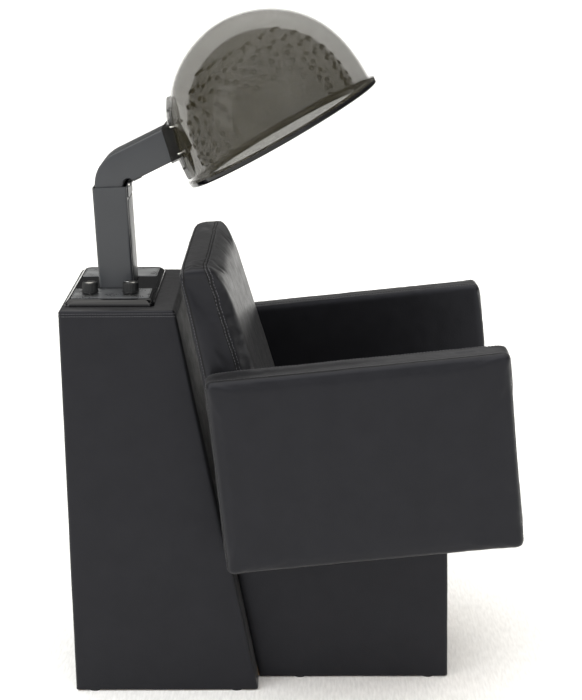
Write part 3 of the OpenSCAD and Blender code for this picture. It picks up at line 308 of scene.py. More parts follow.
# ---------------------------------------------------------------- finishes
@dataclass(frozen=True)
class Finish:
    """A finish with one shader; kinds below add their pattern.

    Args:
        name: what the finish is called.
        colour: sRGB hex of the surface.
        roughness: of the reflection.
        metallic: 0 or 1.
    """

    name: str
    colour: str
    roughness: float = 0.5
    metallic: float = 0.0

    def build(self) -> bpy.types.Material:
        """Makes the material, once."""
        if self.name in bpy.data.materials:
            return bpy.data.materials[self.name]
        made = bpy.data.materials.new(self.name)
        made.use_nodes = True
        tree = made.node_tree
        shader = tree.nodes["Principled BSDF"]
        shader.inputs["Base Color"].default_value = linear(self.colour)
        shader.inputs["Roughness"].default_value = self.roughness
        shader.inputs["Metallic"].default_value = self.metallic
        place = add_node(tree, "ShaderNodeTexCoord").outputs["Object"]
        self.pattern(tree, shader, place)
        return made

    def pattern(self, tree: Tree, shader: Node, place: bpy.types.NodeSocket) -> None:
        """Adds the finish's own pattern to the shader."""

    def noise(self, tree: Tree, place: bpy.types.NodeSocket, size_mm: float,
              detail: float = 3.0, roughness: float = 0.5) -> Node:
        """Adds a noise whose features are about a real size across."""
        return add_node(tree, "ShaderNodeTexNoise", {"Scale": 1 / (size_mm * MM), "Detail": detail,
                        "Roughness": roughness}, {"Vector": place})

    def tint(self, tree: Tree, shader: Node, source: bpy.types.NodeSocket, spread: float) -> None:
        """Varies the colour a little darker and lighter."""
        base = linear(self.colour)[:3]
        stops = [(at, (*[min(c * share, 1) for c in base], 1))
                 for at, share in ((0.3, 1 - spread), (0.7, 1 + spread))]
        tree.links.new(ramp(tree, source, stops).outputs["Color"], shader.inputs["Base Color"])

    def gloss_range(self, tree: Tree, shader: Node, source: bpy.types.NodeSocket,
                    low: float, high: float) -> None:
        """Varies the roughness between two values."""
        made = add_node(tree, "ShaderNodeMapRange",
                        {"From Min": 0.3, "From Max": 0.7, "To Min": low, "To Max": high},
                        {"Value": source})
        tree.links.new(made.outputs["Result"], shader.inputs["Roughness"])

    def relief(self, tree: Tree, shader: Node, source: bpy.types.NodeSocket,
               depth_mm: float, strength: float, under: Optional[Node] = None) -> Node:
        """Adds a bump of a real depth, over another bump if one is given."""
        links = {"Height": source}
        if under is not None:
            links["Normal"] = under.outputs["Normal"]
        made = add_node(tree, "ShaderNodeBump", {"Distance": depth_mm * MM, "Strength": strength},
                        links)
        tree.links.new(made.outputs["Normal"], shader.inputs["Normal"])
        return made


@dataclass(frozen=True)
class GrainedVinyl(Finish):
    """Upholstery vinyl: knit-backed PVC pressed with a leather pebble.

    Its topcoat gives broad soft highlights, and the pebbles break them up.
    """

    pebble_mm: float = 1.9
    depth_mm: float = 0.22

    def pattern(self, tree: Tree, shader: Node, place: bpy.types.NodeSocket) -> None:
        """Pebbles drawn about twice their real size, so that they show, and soft handling marks."""
        shader.inputs["Specular IOR Level"].default_value = 0.24
        shader.inputs["Specular Tint"].default_value = linear("#e4e6f2")
        shader.inputs["Sheen Weight"].default_value = 0.06
        shader.inputs["Sheen Roughness"].default_value = 0.5
        warp = self.noise(tree, place, 6.0, 2.0)
        bent = add_node(tree, "ShaderNodeMix", {"Factor": 0.0012}, data_type="VECTOR",
                        links={4: place, 5: warp.outputs["Color"]})
        cells = add_node(tree, "ShaderNodeTexVoronoi", {"Scale": 1 / (self.pebble_mm * MM)},
                         {"Vector": bent.outputs[1]}, feature="SMOOTH_F1")
        cloud = self.noise(tree, place, 55.0, 4.0, 0.6)
        creases = self.noise(tree, place, 22.0, 5.0, 0.62)
        self.tint(tree, shader, cloud.outputs["Fac"], 0.14)
        self.gloss_range(tree, shader, creases.outputs["Fac"], self.roughness - 0.06,
                         self.roughness + 0.07)
        soft = self.relief(tree, shader, creases.outputs["Fac"], 0.9, 0.35)
        self.relief(tree, shader, cells.outputs["Distance"], -self.depth_mm, 0.55, soft)


@dataclass(frozen=True)
class PowderCoat(Finish):
    """Satin powder coat on sheet steel: an even colour with fine orange peel."""

    def pattern(self, tree: Tree, shader: Node, place: bpy.types.NodeSocket) -> None:
        """Orange peel about 2 mm across and a faint unevenness of gloss."""
        peel = self.noise(tree, place, 2.2, 2.0)
        cloud = self.noise(tree, place, 70.0, 3.0)
        self.tint(tree, shader, cloud.outputs["Fac"], 0.07)
        self.gloss_range(tree, shader, cloud.outputs["Fac"], self.roughness - 0.05,
                         self.roughness + 0.05)
        self.relief(tree, shader, peel.outputs["Fac"], 0.12, 0.35)


@dataclass(frozen=True)
class MouldedPlastic(Finish):
    """Injection-moulded ABS: gloss or spark-eroded matt, with a faint flow unevenness."""

    grain_mm: float = 1.0
    depth_mm: float = 0.02
    shine: float = 0.36

    def pattern(self, tree: Tree, shader: Node, place: bpy.types.NodeSocket) -> None:
        """Mould texture and fine wipe marks in the gloss."""
        shader.inputs["Specular IOR Level"].default_value = self.shine
        grain = self.noise(tree, place, self.grain_mm, 2.0)
        wipes = self.noise(tree, add_node(tree, "ShaderNodeMapping", {"Scale": (1, 6, 1)},
                           {"Vector": place}).outputs["Vector"], 30.0, 4.0)
        self.tint(tree, shader, wipes.outputs["Fac"], 0.08)
        self.gloss_range(tree, shader, wipes.outputs["Fac"], max(self.roughness - 0.04, 0.02),
                         self.roughness + 0.05)
        self.relief(tree, shader, grain.outputs["Fac"], self.depth_mm, 0.4)


@dataclass(frozen=True)
class SmokedAcrylic(Finish):
    """Vacuum-formed acrylic with a smoke tint: each skin holds back part of the light.

    Args:
        hold: share of the light that one surface holds back.
    """

    hold: float = 0.3

    def pattern(self, tree: Tree, shader: Node, place: bpy.types.NodeSocket) -> None:
        """A polished skin over a body whose tint drifts a little, as in a formed sheet."""
        shader.inputs["Alpha"].default_value = self.hold
        shader.inputs["Specular IOR Level"].default_value = 0.2
        self.tint(tree, shader, self.noise(tree, place, 70.0, 1.0).outputs["Fac"], 0.1)


@dataclass(frozen=True)
class BrushedPlate(Finish):
    """Rolled and lightly brushed metal: streaks along one axis stretch the highlight."""

    streak: tuple[float, float, float] = (1, 1, 40)

    def pattern(self, tree: Tree, shader: Node, place: bpy.types.NodeSocket) -> None:
        """Streaks 0.8 mm apart, drawn along the brushing."""
        drawn = add_node(tree, "ShaderNodeMapping", {"Scale": self.streak}, {"Vector": place})
        lines = self.noise(tree, drawn.outputs["Vector"], 32.0, 4.0, 0.7)
        cloud = self.noise(tree, place, 40.0, 3.0)
        self.tint(tree, shader, cloud.outputs["Fac"], 0.06)
        self.gloss_range(tree, shader, lines.outputs["Fac"], self.roughness - 0.05,
                         self.roughness + 0.1)
        self.relief(tree, shader, lines.outputs["Fac"], 0.03, 0.4)


@dataclass(frozen=True)
class BirchPly(Finish):
    """Sawn birch plywood: long pale figure and darker pores."""

    dark: str = "#7a5630"

    def pattern(self, tree: Tree, shader: Node, place: bpy.types.NodeSocket) -> None:
        """Growth figure about 12 mm wide, drawn out along the height."""
        drawn = add_node(tree, "ShaderNodeMapping", {"Scale": (1, 1, 0.12)}, {"Vector": place})
        figure = self.noise(tree, drawn.outputs["Vector"], 12.0, 5.0, 0.6)
        pores = self.noise(tree, drawn.outputs["Vector"], 1.5, 2.0)
        tone = ramp(tree, figure.outputs["Fac"],
                    [(0.3, linear(self.dark)), (0.62, linear(self.colour))])
        tree.links.new(tone.outputs["Color"], shader.inputs["Base Color"])
        self.relief(tree, shader, pores.outputs["Fac"], 0.1, 0.5)


class Look(Enum):
    """The finishes of this chair."""

    VINYL = GrainedVinyl("grained_vinyl", "#141416", 0.36)
    THREAD = MouldedPlastic("waxed_thread", "#505053", 0.5, 0.0, 0.6, 0.1)
    # Near-black painted shade for the line where two edges of the cover meet at a seam.
    CREASE = MouldedPlastic("painted_seam_shade", "#050505", 0.85, 0.0, 0.6, 0.1)
    POST = PowderCoat("charcoal_powder_coat", "#2e3033", 0.36)
    GLOSS = MouldedPlastic("gloss_black_abs", "#08080a", 0.1, 0.0, 3.0, 0.01)
    MATT = MouldedPlastic("matt_black_abs", "#0e0f10", 0.4, 0.0, 0.8, 0.05)
    SMOKE = SmokedAcrylic("smoked_acrylic", "#3a3628", 0.04, 0.0, 0.37)
    BOSS = SmokedAcrylic("smoked_boss", "#141311", 0.06, 0.0, 0.6)
    BOWL = SmokedAcrylic("dark_smoked_acrylic", "#1a1814", 0.06, 0.0, 0.3)
    # Near-black painted shade on the walls and collars of the air holes, where shade and refraction darken each
    # hole.
    HOLE_SHADE = MouldedPlastic("painted_hole_shade", "#040404", 0.2, 0.0, 1.0, 0.01, 0.05)
    LABEL = BrushedPlate("brushed_aluminium", "#c9cbcd", 0.28, 1.0)
    MARK = MouldedPlastic("printed_black", "#0a0a0a", 0.4)
    BRIGHT = BrushedPlate("nickel_plated_steel", "#cfcdc8", 0.2, 1.0, (1, 1, 6))
    ZINC = BrushedPlate("zinc_plated_sheet", "#9a9d9f", 0.38, 1.0, (1, 1, 12))
    PLY = BirchPly("birch_plywood", "#c9a878", 0.6)
    MICA = MouldedPlastic("mica_and_wire", "#8a5f3c", 0.5, 0.0, 1.5, 0.1)
    FLOOR = MouldedPlastic("studio_floor", "#f4f4f3", 0.6)


SLOT_LOOKS: dict[str, Look] = {
    "vinyl": Look.VINYL, "plywood": Look.PLY, "charcoal_steel": Look.POST,
    "zinc_steel": Look.ZINC, "bright_steel": Look.BRIGHT, "heater_wire": Look.MICA,
    "black_gloss_plastic": Look.GLOSS, "black_plastic": Look.MATT, "wire_cover": Look.MATT,
    "silver_label": Look.LABEL, "smoked_clear": Look.BOSS, "dark_smoked_clear": Look.BOWL,
}


def dress(obj: Mesh, look: Look) -> None:
    """Gives an object one finish."""
    made = look.value.build()
    obj.data.materials.clear()
    obj.data.materials.append(made)


def dress_frame() -> None:
    """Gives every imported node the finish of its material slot."""
    for part in frame["record"]["subparts"]:
        obj = frame["nodes"][part["node"]]
        made = SLOT_LOOKS[part["material_slot"]].value.build()
        for place in obj.material_slots:
            place.material = made


def hand_over(obj: Mesh, look: Look, body: str = "chair", replaces: Sequence[str] = ()) -> Mesh:
    """Finishes a piece: material, body, and what it stands for.

    Args:
        obj: the piece.
        look: its finish.
        body: the body that it rides on.
        replaces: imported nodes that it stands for.

    Returns:
        The piece.
    """
    dress(obj, look)
    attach(obj, body)
    if replaces:
        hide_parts(*replaces)
    LOG.info("%s: %d faces on %s", obj.name, len(obj.data.polygons), body)
    return obj


# ---------------------------------------------------------------- upholstery
CLOTH: dict[str, object] = {
    "quality": 4, "mass": 0.4, "tension_stiffness": 18, "compression_stiffness": 18,
    "shear_stiffness": 8, "bending_stiffness": 2.5, "use_pressure": True,
}
CLOTH_FRAMES = 20


@dataclass
class Seam:
    """A sewn seam that runs over a padded piece.

    Args:
        path: points in metres, near the surface.
        closed: whether the path is a loop.
        rows: sideways places of the stitch rows, in millimetres.
        groove_mm: how deep the seam draws in.
        pucker_mm: height of the small gathers beside it.
        pitch_mm: distance between stitches.
        with_fold_shade: whether a low ridge is laid where two edges meet, coloured near-black as painted shade in
            the seam.
    """

    path: list[Vector]
    closed: bool = True
    rows: tuple[float, ...] = (3.2,)
    groove_mm: float = 1.5
    pucker_mm: float = 0.3
    pitch_mm: float = 6.0
    with_fold_shade: bool = True

    def samples(self, step: float) -> list[Vector]:
        """Points along the path at an even step, in metres."""
        path = self.path + ([self.path[0]] if self.closed else [])
        out: list[Vector] = []
        left = 0.0
        for a, b in zip(path, path[1:]):
            run = (b - a).length
            while left < run:
                out.append(a.lerp(b, left / run))
                left += step
            left -= run
        return out

    def spans(self, line: Sequence[Vector]) -> int:
        """How many stretches a sampled line has."""
        return len(line) if self.closed else len(line) - 1


class Upholstery:
    """Turns a plain closed shape into a padded, sewn and gathered one."""

    @staticmethod
    def fine(obj: Mesh, voxel_mm: float) -> None:
        """Rebuilds the mesh as an even net."""
        modify(obj, "REMESH", mode="VOXEL", voxel_size=voxel_mm * MM, use_smooth_shade=True)

    @staticmethod
    def inflate(obj: Mesh, held: Callable[[Vector], bool], cap_mm: float,
                pressure: float = 4.0) -> None:
        """Swells the cover with a cloth simulation, as foam does.

        Args:
            obj: a closed mesh, slightly smaller than the finished piece.
            held: which points stay where the piece rests or is stapled.
            cap_mm: how far a point may move.
            pressure: of the filling.
        """
        rest = [v.co.copy() for v in obj.data.vertices]
        group = obj.vertex_groups.new(name="held")
        group.add([i for i, p in enumerate(rest) if held(p)], 1.0, "REPLACE")
        cloth = obj.modifiers.new("cloth", "CLOTH")
        for name, value in CLOTH.items():
            setattr(cloth.settings, name, value)
        cloth.settings.uniform_pressure_force = pressure
        cloth.settings.effector_weights.gravity = 0
        cloth.settings.vertex_group_mass = "held"
        cloth.collision_settings.use_collision = False
        cloth.point_cache.frame_start, cloth.point_cache.frame_end = 1, CLOTH_FRAMES
        for step in range(1, CLOTH_FRAMES + 1):
            bpy.context.scene.frame_set(step)
        graph = bpy.context.evaluated_depsgraph_get()
        moved = [v.co.copy() for v in obj.evaluated_get(graph).data.vertices]
        obj.modifiers.remove(cloth)
        obj.vertex_groups.remove(group)
        bpy.context.scene.frame_set(1)
        cap = cap_mm * MM
        for v, old, new in zip(obj.data.vertices, rest, moved):
            push = new - old
            far = push.length
            v.co = old + (push * (cap * math.tanh(far / cap) / far) if far > 1e-9 else push)

    @staticmethod
    def sew(obj: Mesh, seams: Sequence[Seam], seed: int) -> None:
        """Draws grooves and small gathers into the surface along the seams."""
        for number, seam in enumerate(seams):
            points = seam.samples(2 * MM)
            tree = KDTree(len(points))
            for i, p in enumerate(points):
                tree.insert(p, i)
            tree.balance()
            normals = [v.normal.copy() for v in obj.data.vertices]
            for v, normal in zip(obj.data.vertices, normals):
                _, index, far = tree.find(v.co)
                if far > 26 * MM:
                    continue
                depth = seam.groove_mm * math.exp(-(far / (2.6 * MM)) ** 2)
                along = index * 2.0
                wave = noise.noise(Vector((along / 13.0, far / MM / 30.0, seed + number * 7.3)))
                gather = seam.pucker_mm * wave * math.exp(-(far / (11 * MM)) ** 2) * 2
                v.co -= normal * (depth - gather) * MM

    @staticmethod
    def settle_waves(obj: Mesh, height_mm: float, size_mm: float, seed: float) -> None:
        """Adds the slow unevenness of foam under a stretched cover."""
        normals = [v.normal.copy() for v in obj.data.vertices]
        for v, normal in zip(obj.data.vertices, normals):
            start = Vector((seed, seed * 0.37, 0))
            wave = noise.fractal(v.co / (size_mm * MM) + start, 0.9, 2.0, 3)
            v.co += normal * wave * height_mm * MM

    @staticmethod
    def stitches(name: str, obj: Mesh, seams: Sequence[Seam]) -> Mesh:
        """Makes every row of stitches and, where a seam asks for it, a low ridge whose near-black colour is
        painted shade where the cover's edges meet, on the sewn surface.

        Args:
            name: the new piece's name.
            obj: the padded piece.
            seams: its seams.

        Returns:
            One mesh with all the stitches.
        """
        surface = BVHTree.FromObject(obj, bpy.context.evaluated_depsgraph_get())
        points: list[Vector] = []
        faces: list[tuple[int, ...]] = []
        for seam in seams:
            Upholstery.thread(surface, seam, points, faces)
        folds_from = len(faces)
        for seam in seams:
            if seam.with_fold_shade:
                Upholstery.fold(surface, seam, points, faces)
        made = mesh_object(name, points, [], faces)
        made["folds_from"] = folds_from
        outward(made)
        smooth(made, 60)
        return made

    @staticmethod
    def thread(surface: BVHTree, seam: Seam, points: list[Vector],
               faces: list[tuple[int, ...]]) -> None:
        """Adds every stitch of a seam as a short six-sided spindle."""
        half, thick = mm(1.9, 0.55)
        ring = [(math.cos(a), math.sin(a)) for a in (math.pi * k / 3 for k in range(6))]
        profile = [(-half, 0.35), (-half * 0.55, 1.0), (half * 0.55, 1.0), (half, 0.35)]
        line = seam.samples(seam.pitch_mm * MM)
        for row in seam.rows:
            for i in range(seam.spans(line)):
                way = (line[(i + 1) % len(line)] - line[i]).normalized()
                near, normal, _, _ = surface.find_nearest(line[i])
                side = normal.cross(way).normalized()
                near, normal, _, _ = surface.find_nearest(near + side * row * MM)
                side = normal.cross(way).normalized()
                start = len(points)
                for place, size in profile:
                    middle = near + way * place + normal * thick * 0.55
                    points += [middle + (side * c + normal * s) * thick * size for c, s in ring]
                for a in range(start, start + 18):
                    b = a + 1 if (a - start) % 6 < 5 else a - 5
                    faces.append((a, b, b + 6, a + 6))
                faces.append(tuple(reversed(range(start, start + 6))))
                faces.append(tuple(range(start + 18, start + 24)))

    @staticmethod
    def fold(surface: BVHTree, seam: Seam, points: list[Vector],
             faces: list[tuple[int, ...]]) -> None:
        """Adds the line where two edges of the cover meet, as a low ridge whose near-black finish is painted
        shade.
        """
        line = seam.samples(4 * MM)
        start = len(points)
        for i, p in enumerate(line):
            inside = seam.closed or i + 1 < len(line)
            ahead = line[(i + 1) % len(line)] if inside else p * 2 - line[i - 1]
            near, normal, _, _ = surface.find_nearest(p)
            side = normal.cross((ahead - p).normalized()).normalized()
            points += [near + side * 1.1 * MM, near + normal * 0.35 * MM, near - side * 1.1 * MM,
                       near - normal * 0.8 * MM]
        last = seam.spans(line)
        for i in range(last):
            a, b = start + 4 * i, start + 4 * ((i + 1) % len(line))
            faces += [(a + k, a + (k + 1) % 4, b + (k + 1) % 4, b + k) for k in range(4)]
        if not seam.closed:
            a = start + 4 * last
            faces += [(start, start + 1, start + 2, start + 3), (a + 3, a + 2, a + 1, a)]

    @staticmethod
    def finish_thread(made: Mesh) -> None:
        """Hands over a seam's stitches and gives its ridge the near-black finish of painted seam shade."""
        hand_over(made, Look.THREAD)
        made.data.materials.append(Look.CREASE.value.build())
        # Faces from the ridge on get the painted seam shade.
        for poly in made.data.polygons:
            poly.material_index = 1 if poly.index >= made["folds_from"] else 0
        del made["folds_from"]


def rounded(before: Vector, corner: Vector, after: Vector, round_mm: float) -> list[Vector]:
    """Five points that round one corner of a path."""
    back = (before - corner).normalized() * round_mm * MM
    on = (after - corner).normalized() * round_mm * MM
    return [corner + back * (1 - t) ** 2 + on * t ** 2 for t in (k / 4 for k in range(5))]


def loop_path(corners: Sequence[Vector], round_mm: float) -> list[Vector]:
    """Rounds the corners of a closed path.

    Args:
        corners: the corner points in metres.
        round_mm: how far before each corner the turn starts.

    Returns:
        The rounded path.
    """
    out: list[Vector] = []
    for i, corner in enumerate(corners):
        out += rounded(corners[i - 1], corner, corners[(i + 1) % len(corners)], round_mm)
    return out


def open_path(corners: Sequence[Vector], round_mm: float) -> list[Vector]:
    """Rounds the inner corners of an open path."""
    out = [corners[0]]
    for before, corner, after in zip(corners, corners[1:], corners[2:]):
        out += rounded(before, corner, after, round_mm)
    return out + [corners[-1]]


@dataclass
class SeatUnit:
    """Arms, seat and backrest in the raked frame; -Y runs forward along the arms.

    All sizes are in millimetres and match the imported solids.
    """

    rake: float = 5.7
    start: float = 278.0
    rise: float = 684.0
    arm_length: float = 572.0
    arm_depth: float = 392.0
    arm_thick: float = 67.0
    half_width: float = 317.5
    cushion_half: float = 249.0
    seat_rear: float = 44.0
    seat_front: float = 562.0
    seat_low: float = -310.0
    seat_crown: float = -233.0
    back_lean: float = 5.5
    back_origin: float = -8.6
    back_thick: float = 99.5
    back_taper: float = 0.107
    back_top: float = 199.0
    back_low: float = -234.0

    @property
    def raked(self) -> Matrix:
        """The raked frame in the object's frame."""
        return placed(0, self.start, self.rise) @ turned("X", -self.rake)

    @property
    def back_frame(self) -> Matrix:
        """The backrest's own frame: Z runs up its rear face."""
        return self.raked @ Matrix.Translation((0, -self.back_origin * MM, 0)) \
            @ turned("X", -self.back_lean)

    def finish_pad(self, obj: Mesh, place: Matrix, seams: Sequence[Seam], nodes: Sequence[str],
                   seed: int, wave_mm: float = 0.5) -> Mesh:
        """Subdivides, sews and places one padded piece and makes its stitches."""
        modify(obj, "SUBSURF", levels=1, render_levels=1)
        Upholstery.settle_waves(obj, wave_mm, 90.0, seed)
        Upholstery.sew(obj, seams, seed)
        smooth(obj, 80)
        thread = Upholstery.stitches(obj.name + "_stitches", obj, seams)
        for piece in (obj, thread):
            piece.data.transform(place)
        hand_over(obj, Look.VINYL, replaces=nodes)
        Upholstery.finish_thread(thread)
        return obj

    def arm(self) -> None:
        """Builds one padded arm with its boxing band, and mirrors it for the other side."""
        inset = 2.2
        inner = self.half_width - self.arm_thick
        pad = block("left_arm_cover",
                    mm(inner, inset - self.arm_length, inset - self.arm_depth),
                    mm(self.half_width - inset, -inset, -inset))
        bevelled(pad, lambda e: e.verts[0].co.x != e.verts[1].co.x, 15, 6)
        bevelled(pad, lambda e: abs(e.verts[0].co.x - e.verts[1].co.x) < 1e-6
                 and e.calc_face_angle(0) > 1, 9, 4)
        Upholstery.fine(pad, 5.0)
        Upholstery.inflate(pad, lambda p: p.x < (inner + 0.6) * MM, 3.4)
        for v in pad.data.vertices:
            v.co.x = max(v.co.x, inner * MM)
        seams = []
        for x, row in ((self.half_width - 9.0, 3.0), (inner + 9.0, -3.0)):
            corners = [Vector(mm(x, y, z)) for y, z in (
                (0, 0), (-self.arm_length, 0), (-self.arm_length, -self.arm_depth),
                (0, -self.arm_depth))]
            seams.append(Seam(loop_path(corners, 20), rows=(row,), groove_mm=1.7))
        twin_mesh = pad.data.copy()
        self.finish_pad(pad, self.raked, seams, ["left_arm_pad"], 11)
        twin = bpy.data.objects.new("right_arm_cover", twin_mesh)
        bpy.context.scene.collection.objects.link(twin)
        twin_mesh.transform(Matrix.Scale(-1, 4, (1, 0, 0)))
        outward(twin)
        mirrored = [Seam([Vector((-p.x, p.y, p.z)) for p in s.path], s.closed,
                         tuple(s.rows), s.groove_mm) for s in seams]
        self.finish_pad(twin, self.raked, mirrored, ["right_arm_pad"], 23)

    def back(self) -> None:
        """Builds the wedge-shaped back cushion with its double front seam."""
        half, top, low = self.cushion_half - 2, self.back_top - 2, self.back_low - 18

        def front(z: float, less: float) -> float:
            return -(self.back_thick - self.back_taper * z - less)

        pad = block("back_cushion_cover", (-half * MM, -1, low * MM), mm(half, -1, top))
        for v in pad.data.vertices:
            if v.co.y < -0.5:
                v.co.y = front(v.co.z / MM, 15) * MM
        bevelled(pad, lambda e: True, 12, 4)
        Upholstery.fine(pad, 5.5)
        Upholstery.inflate(pad, lambda p: p.y > -2.5 * MM or p.z < (self.back_low + 2) * MM, 15.0)
        tilt = math.radians(self.back_lean)
        floor = self.back_low * MM
        for v in pad.data.vertices:
            v.co.x = max(-self.cushion_half * MM, min(self.cushion_half * MM, v.co.x))
            v.co.y = min(v.co.y, 1.5 * MM)
            low_here = (floor + v.co.y * math.sin(tilt)) / math.cos(tilt)
            v.co.z = max(v.co.z, low_here)
        edge = self.cushion_half - 1
        foot = self.back_low + 6
        border = ((-edge, foot), (-edge, self.back_top), (edge, self.back_top), (edge, foot))
        seams = []
        for back, rows, groove in ((18.0, (3.2, -3.2), 1.8), (24.5, (), 1.2)):
            path = [Vector(mm(x, front(z, back + 3), z)) for x, z in border]
            seams.append(Seam(open_path(path, 14), False, rows, groove, 0.3))
        rear = [Vector(mm(x, -9, z)) for x, z in border]
        seams.append(Seam(open_path(rear, 14), False, (3.0,), 1.3, 0.2))
        self.finish_pad(pad, self.back_frame, seams, ["back_cushion"], 31, 0.6)

    def seat(self) -> None:
        """Builds the seat cushion: flat below, crowned above, with a boxed border."""
        half, rise = self.cushion_half - 2, self.seat_crown - 12
        pad = block("seat_cushion_cover", mm(-half, 2 - self.seat_front, self.seat_low),
                    mm(half, -(self.seat_rear + 2), rise - 1))
        bevelled(pad, lambda e: True, 11, 4)
        Upholstery.fine(pad, 5.5)
        Upholstery.inflate(pad, lambda p: p.z < (self.seat_low + 3) * MM, 13.0)
        for v in pad.data.vertices:
            v.co.x = max(-self.cushion_half * MM, min(self.cushion_half * MM, v.co.x))
            v.co.y = min(max(v.co.y, -(self.seat_front + 4) * MM), -self.seat_rear * MM)
            v.co.z = max(v.co.z, self.seat_low * MM)
        edge = self.cushion_half - 1
        corners = [Vector(mm(x, y, rise - 9)) for x, y in (
            (-edge, -self.seat_front), (edge, -self.seat_front), (edge, -self.seat_rear),
            (-edge, -self.seat_rear))]
        lower = [c - Vector((0, 0, 46 * MM)) for c in corners]
        seams = [Seam(loop_path(corners, 22), rows=(3.0, -3.0), groove_mm=1.8, pucker_mm=0.4),
                 Seam(loop_path(lower, 22), rows=(), groove_mm=1.3)]
        self.finish_pad(pad, self.raked, seams, ["seat_cushion"], 47, 0.9)

    def apron(self, name: str, node: str, grow_mm: float) -> None:
        """Builds a vinyl-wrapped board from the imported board's own corners."""
        source = frame["nodes"][node]
        inverse = self.raked.inverted()
        corners = [inverse @ v.co for v in source.data.vertices]
        low = Vector([min(c[i] for c in corners) for i in range(3)])
        high = Vector([max(c[i] for c in corners) for i in range(3)])
        pad = block(name, low, high)
        middle = (low + high) / 2
        slant = {(c.y > middle.y, c.z > middle.z): c.y for c in corners}
        for v in pad.data.vertices:
            v.co.y = slant.get((v.co.y > middle.y, v.co.z > middle.z), v.co.y)
        bevelled(pad, lambda e: True, 2.4, 3)
        edit(pad, "EDGE", lambda e: e.calc_length() > 0.05, bpy.ops.mesh.subdivide,
             number_cuts=24)
        outward = -1 if grow_mm > 0 else 1
        width = high.x - low.x
        for v in pad.data.vertices:
            share = max(0.0, 1 - abs(2 * v.co.x / width) ** 6)
            wave = noise.noise(v.co / 0.05)
            v.co.y += outward * (abs(grow_mm) * 0.3 * share + wave * 0.2) * MM
        smooth(pad, 40)
        pad.data.transform(self.raked)
        hand_over(pad, Look.VINYL, replaces=[node])

    def build(self) -> None:
        """Builds every upholstered piece of the seat unit."""
        self.arm()
        self.back()
        self.seat()
        self.apron("seat_apron_cover", "seat_apron", 2.0)
        self.apron("back_apron_cover", "back_apron", -2.0)


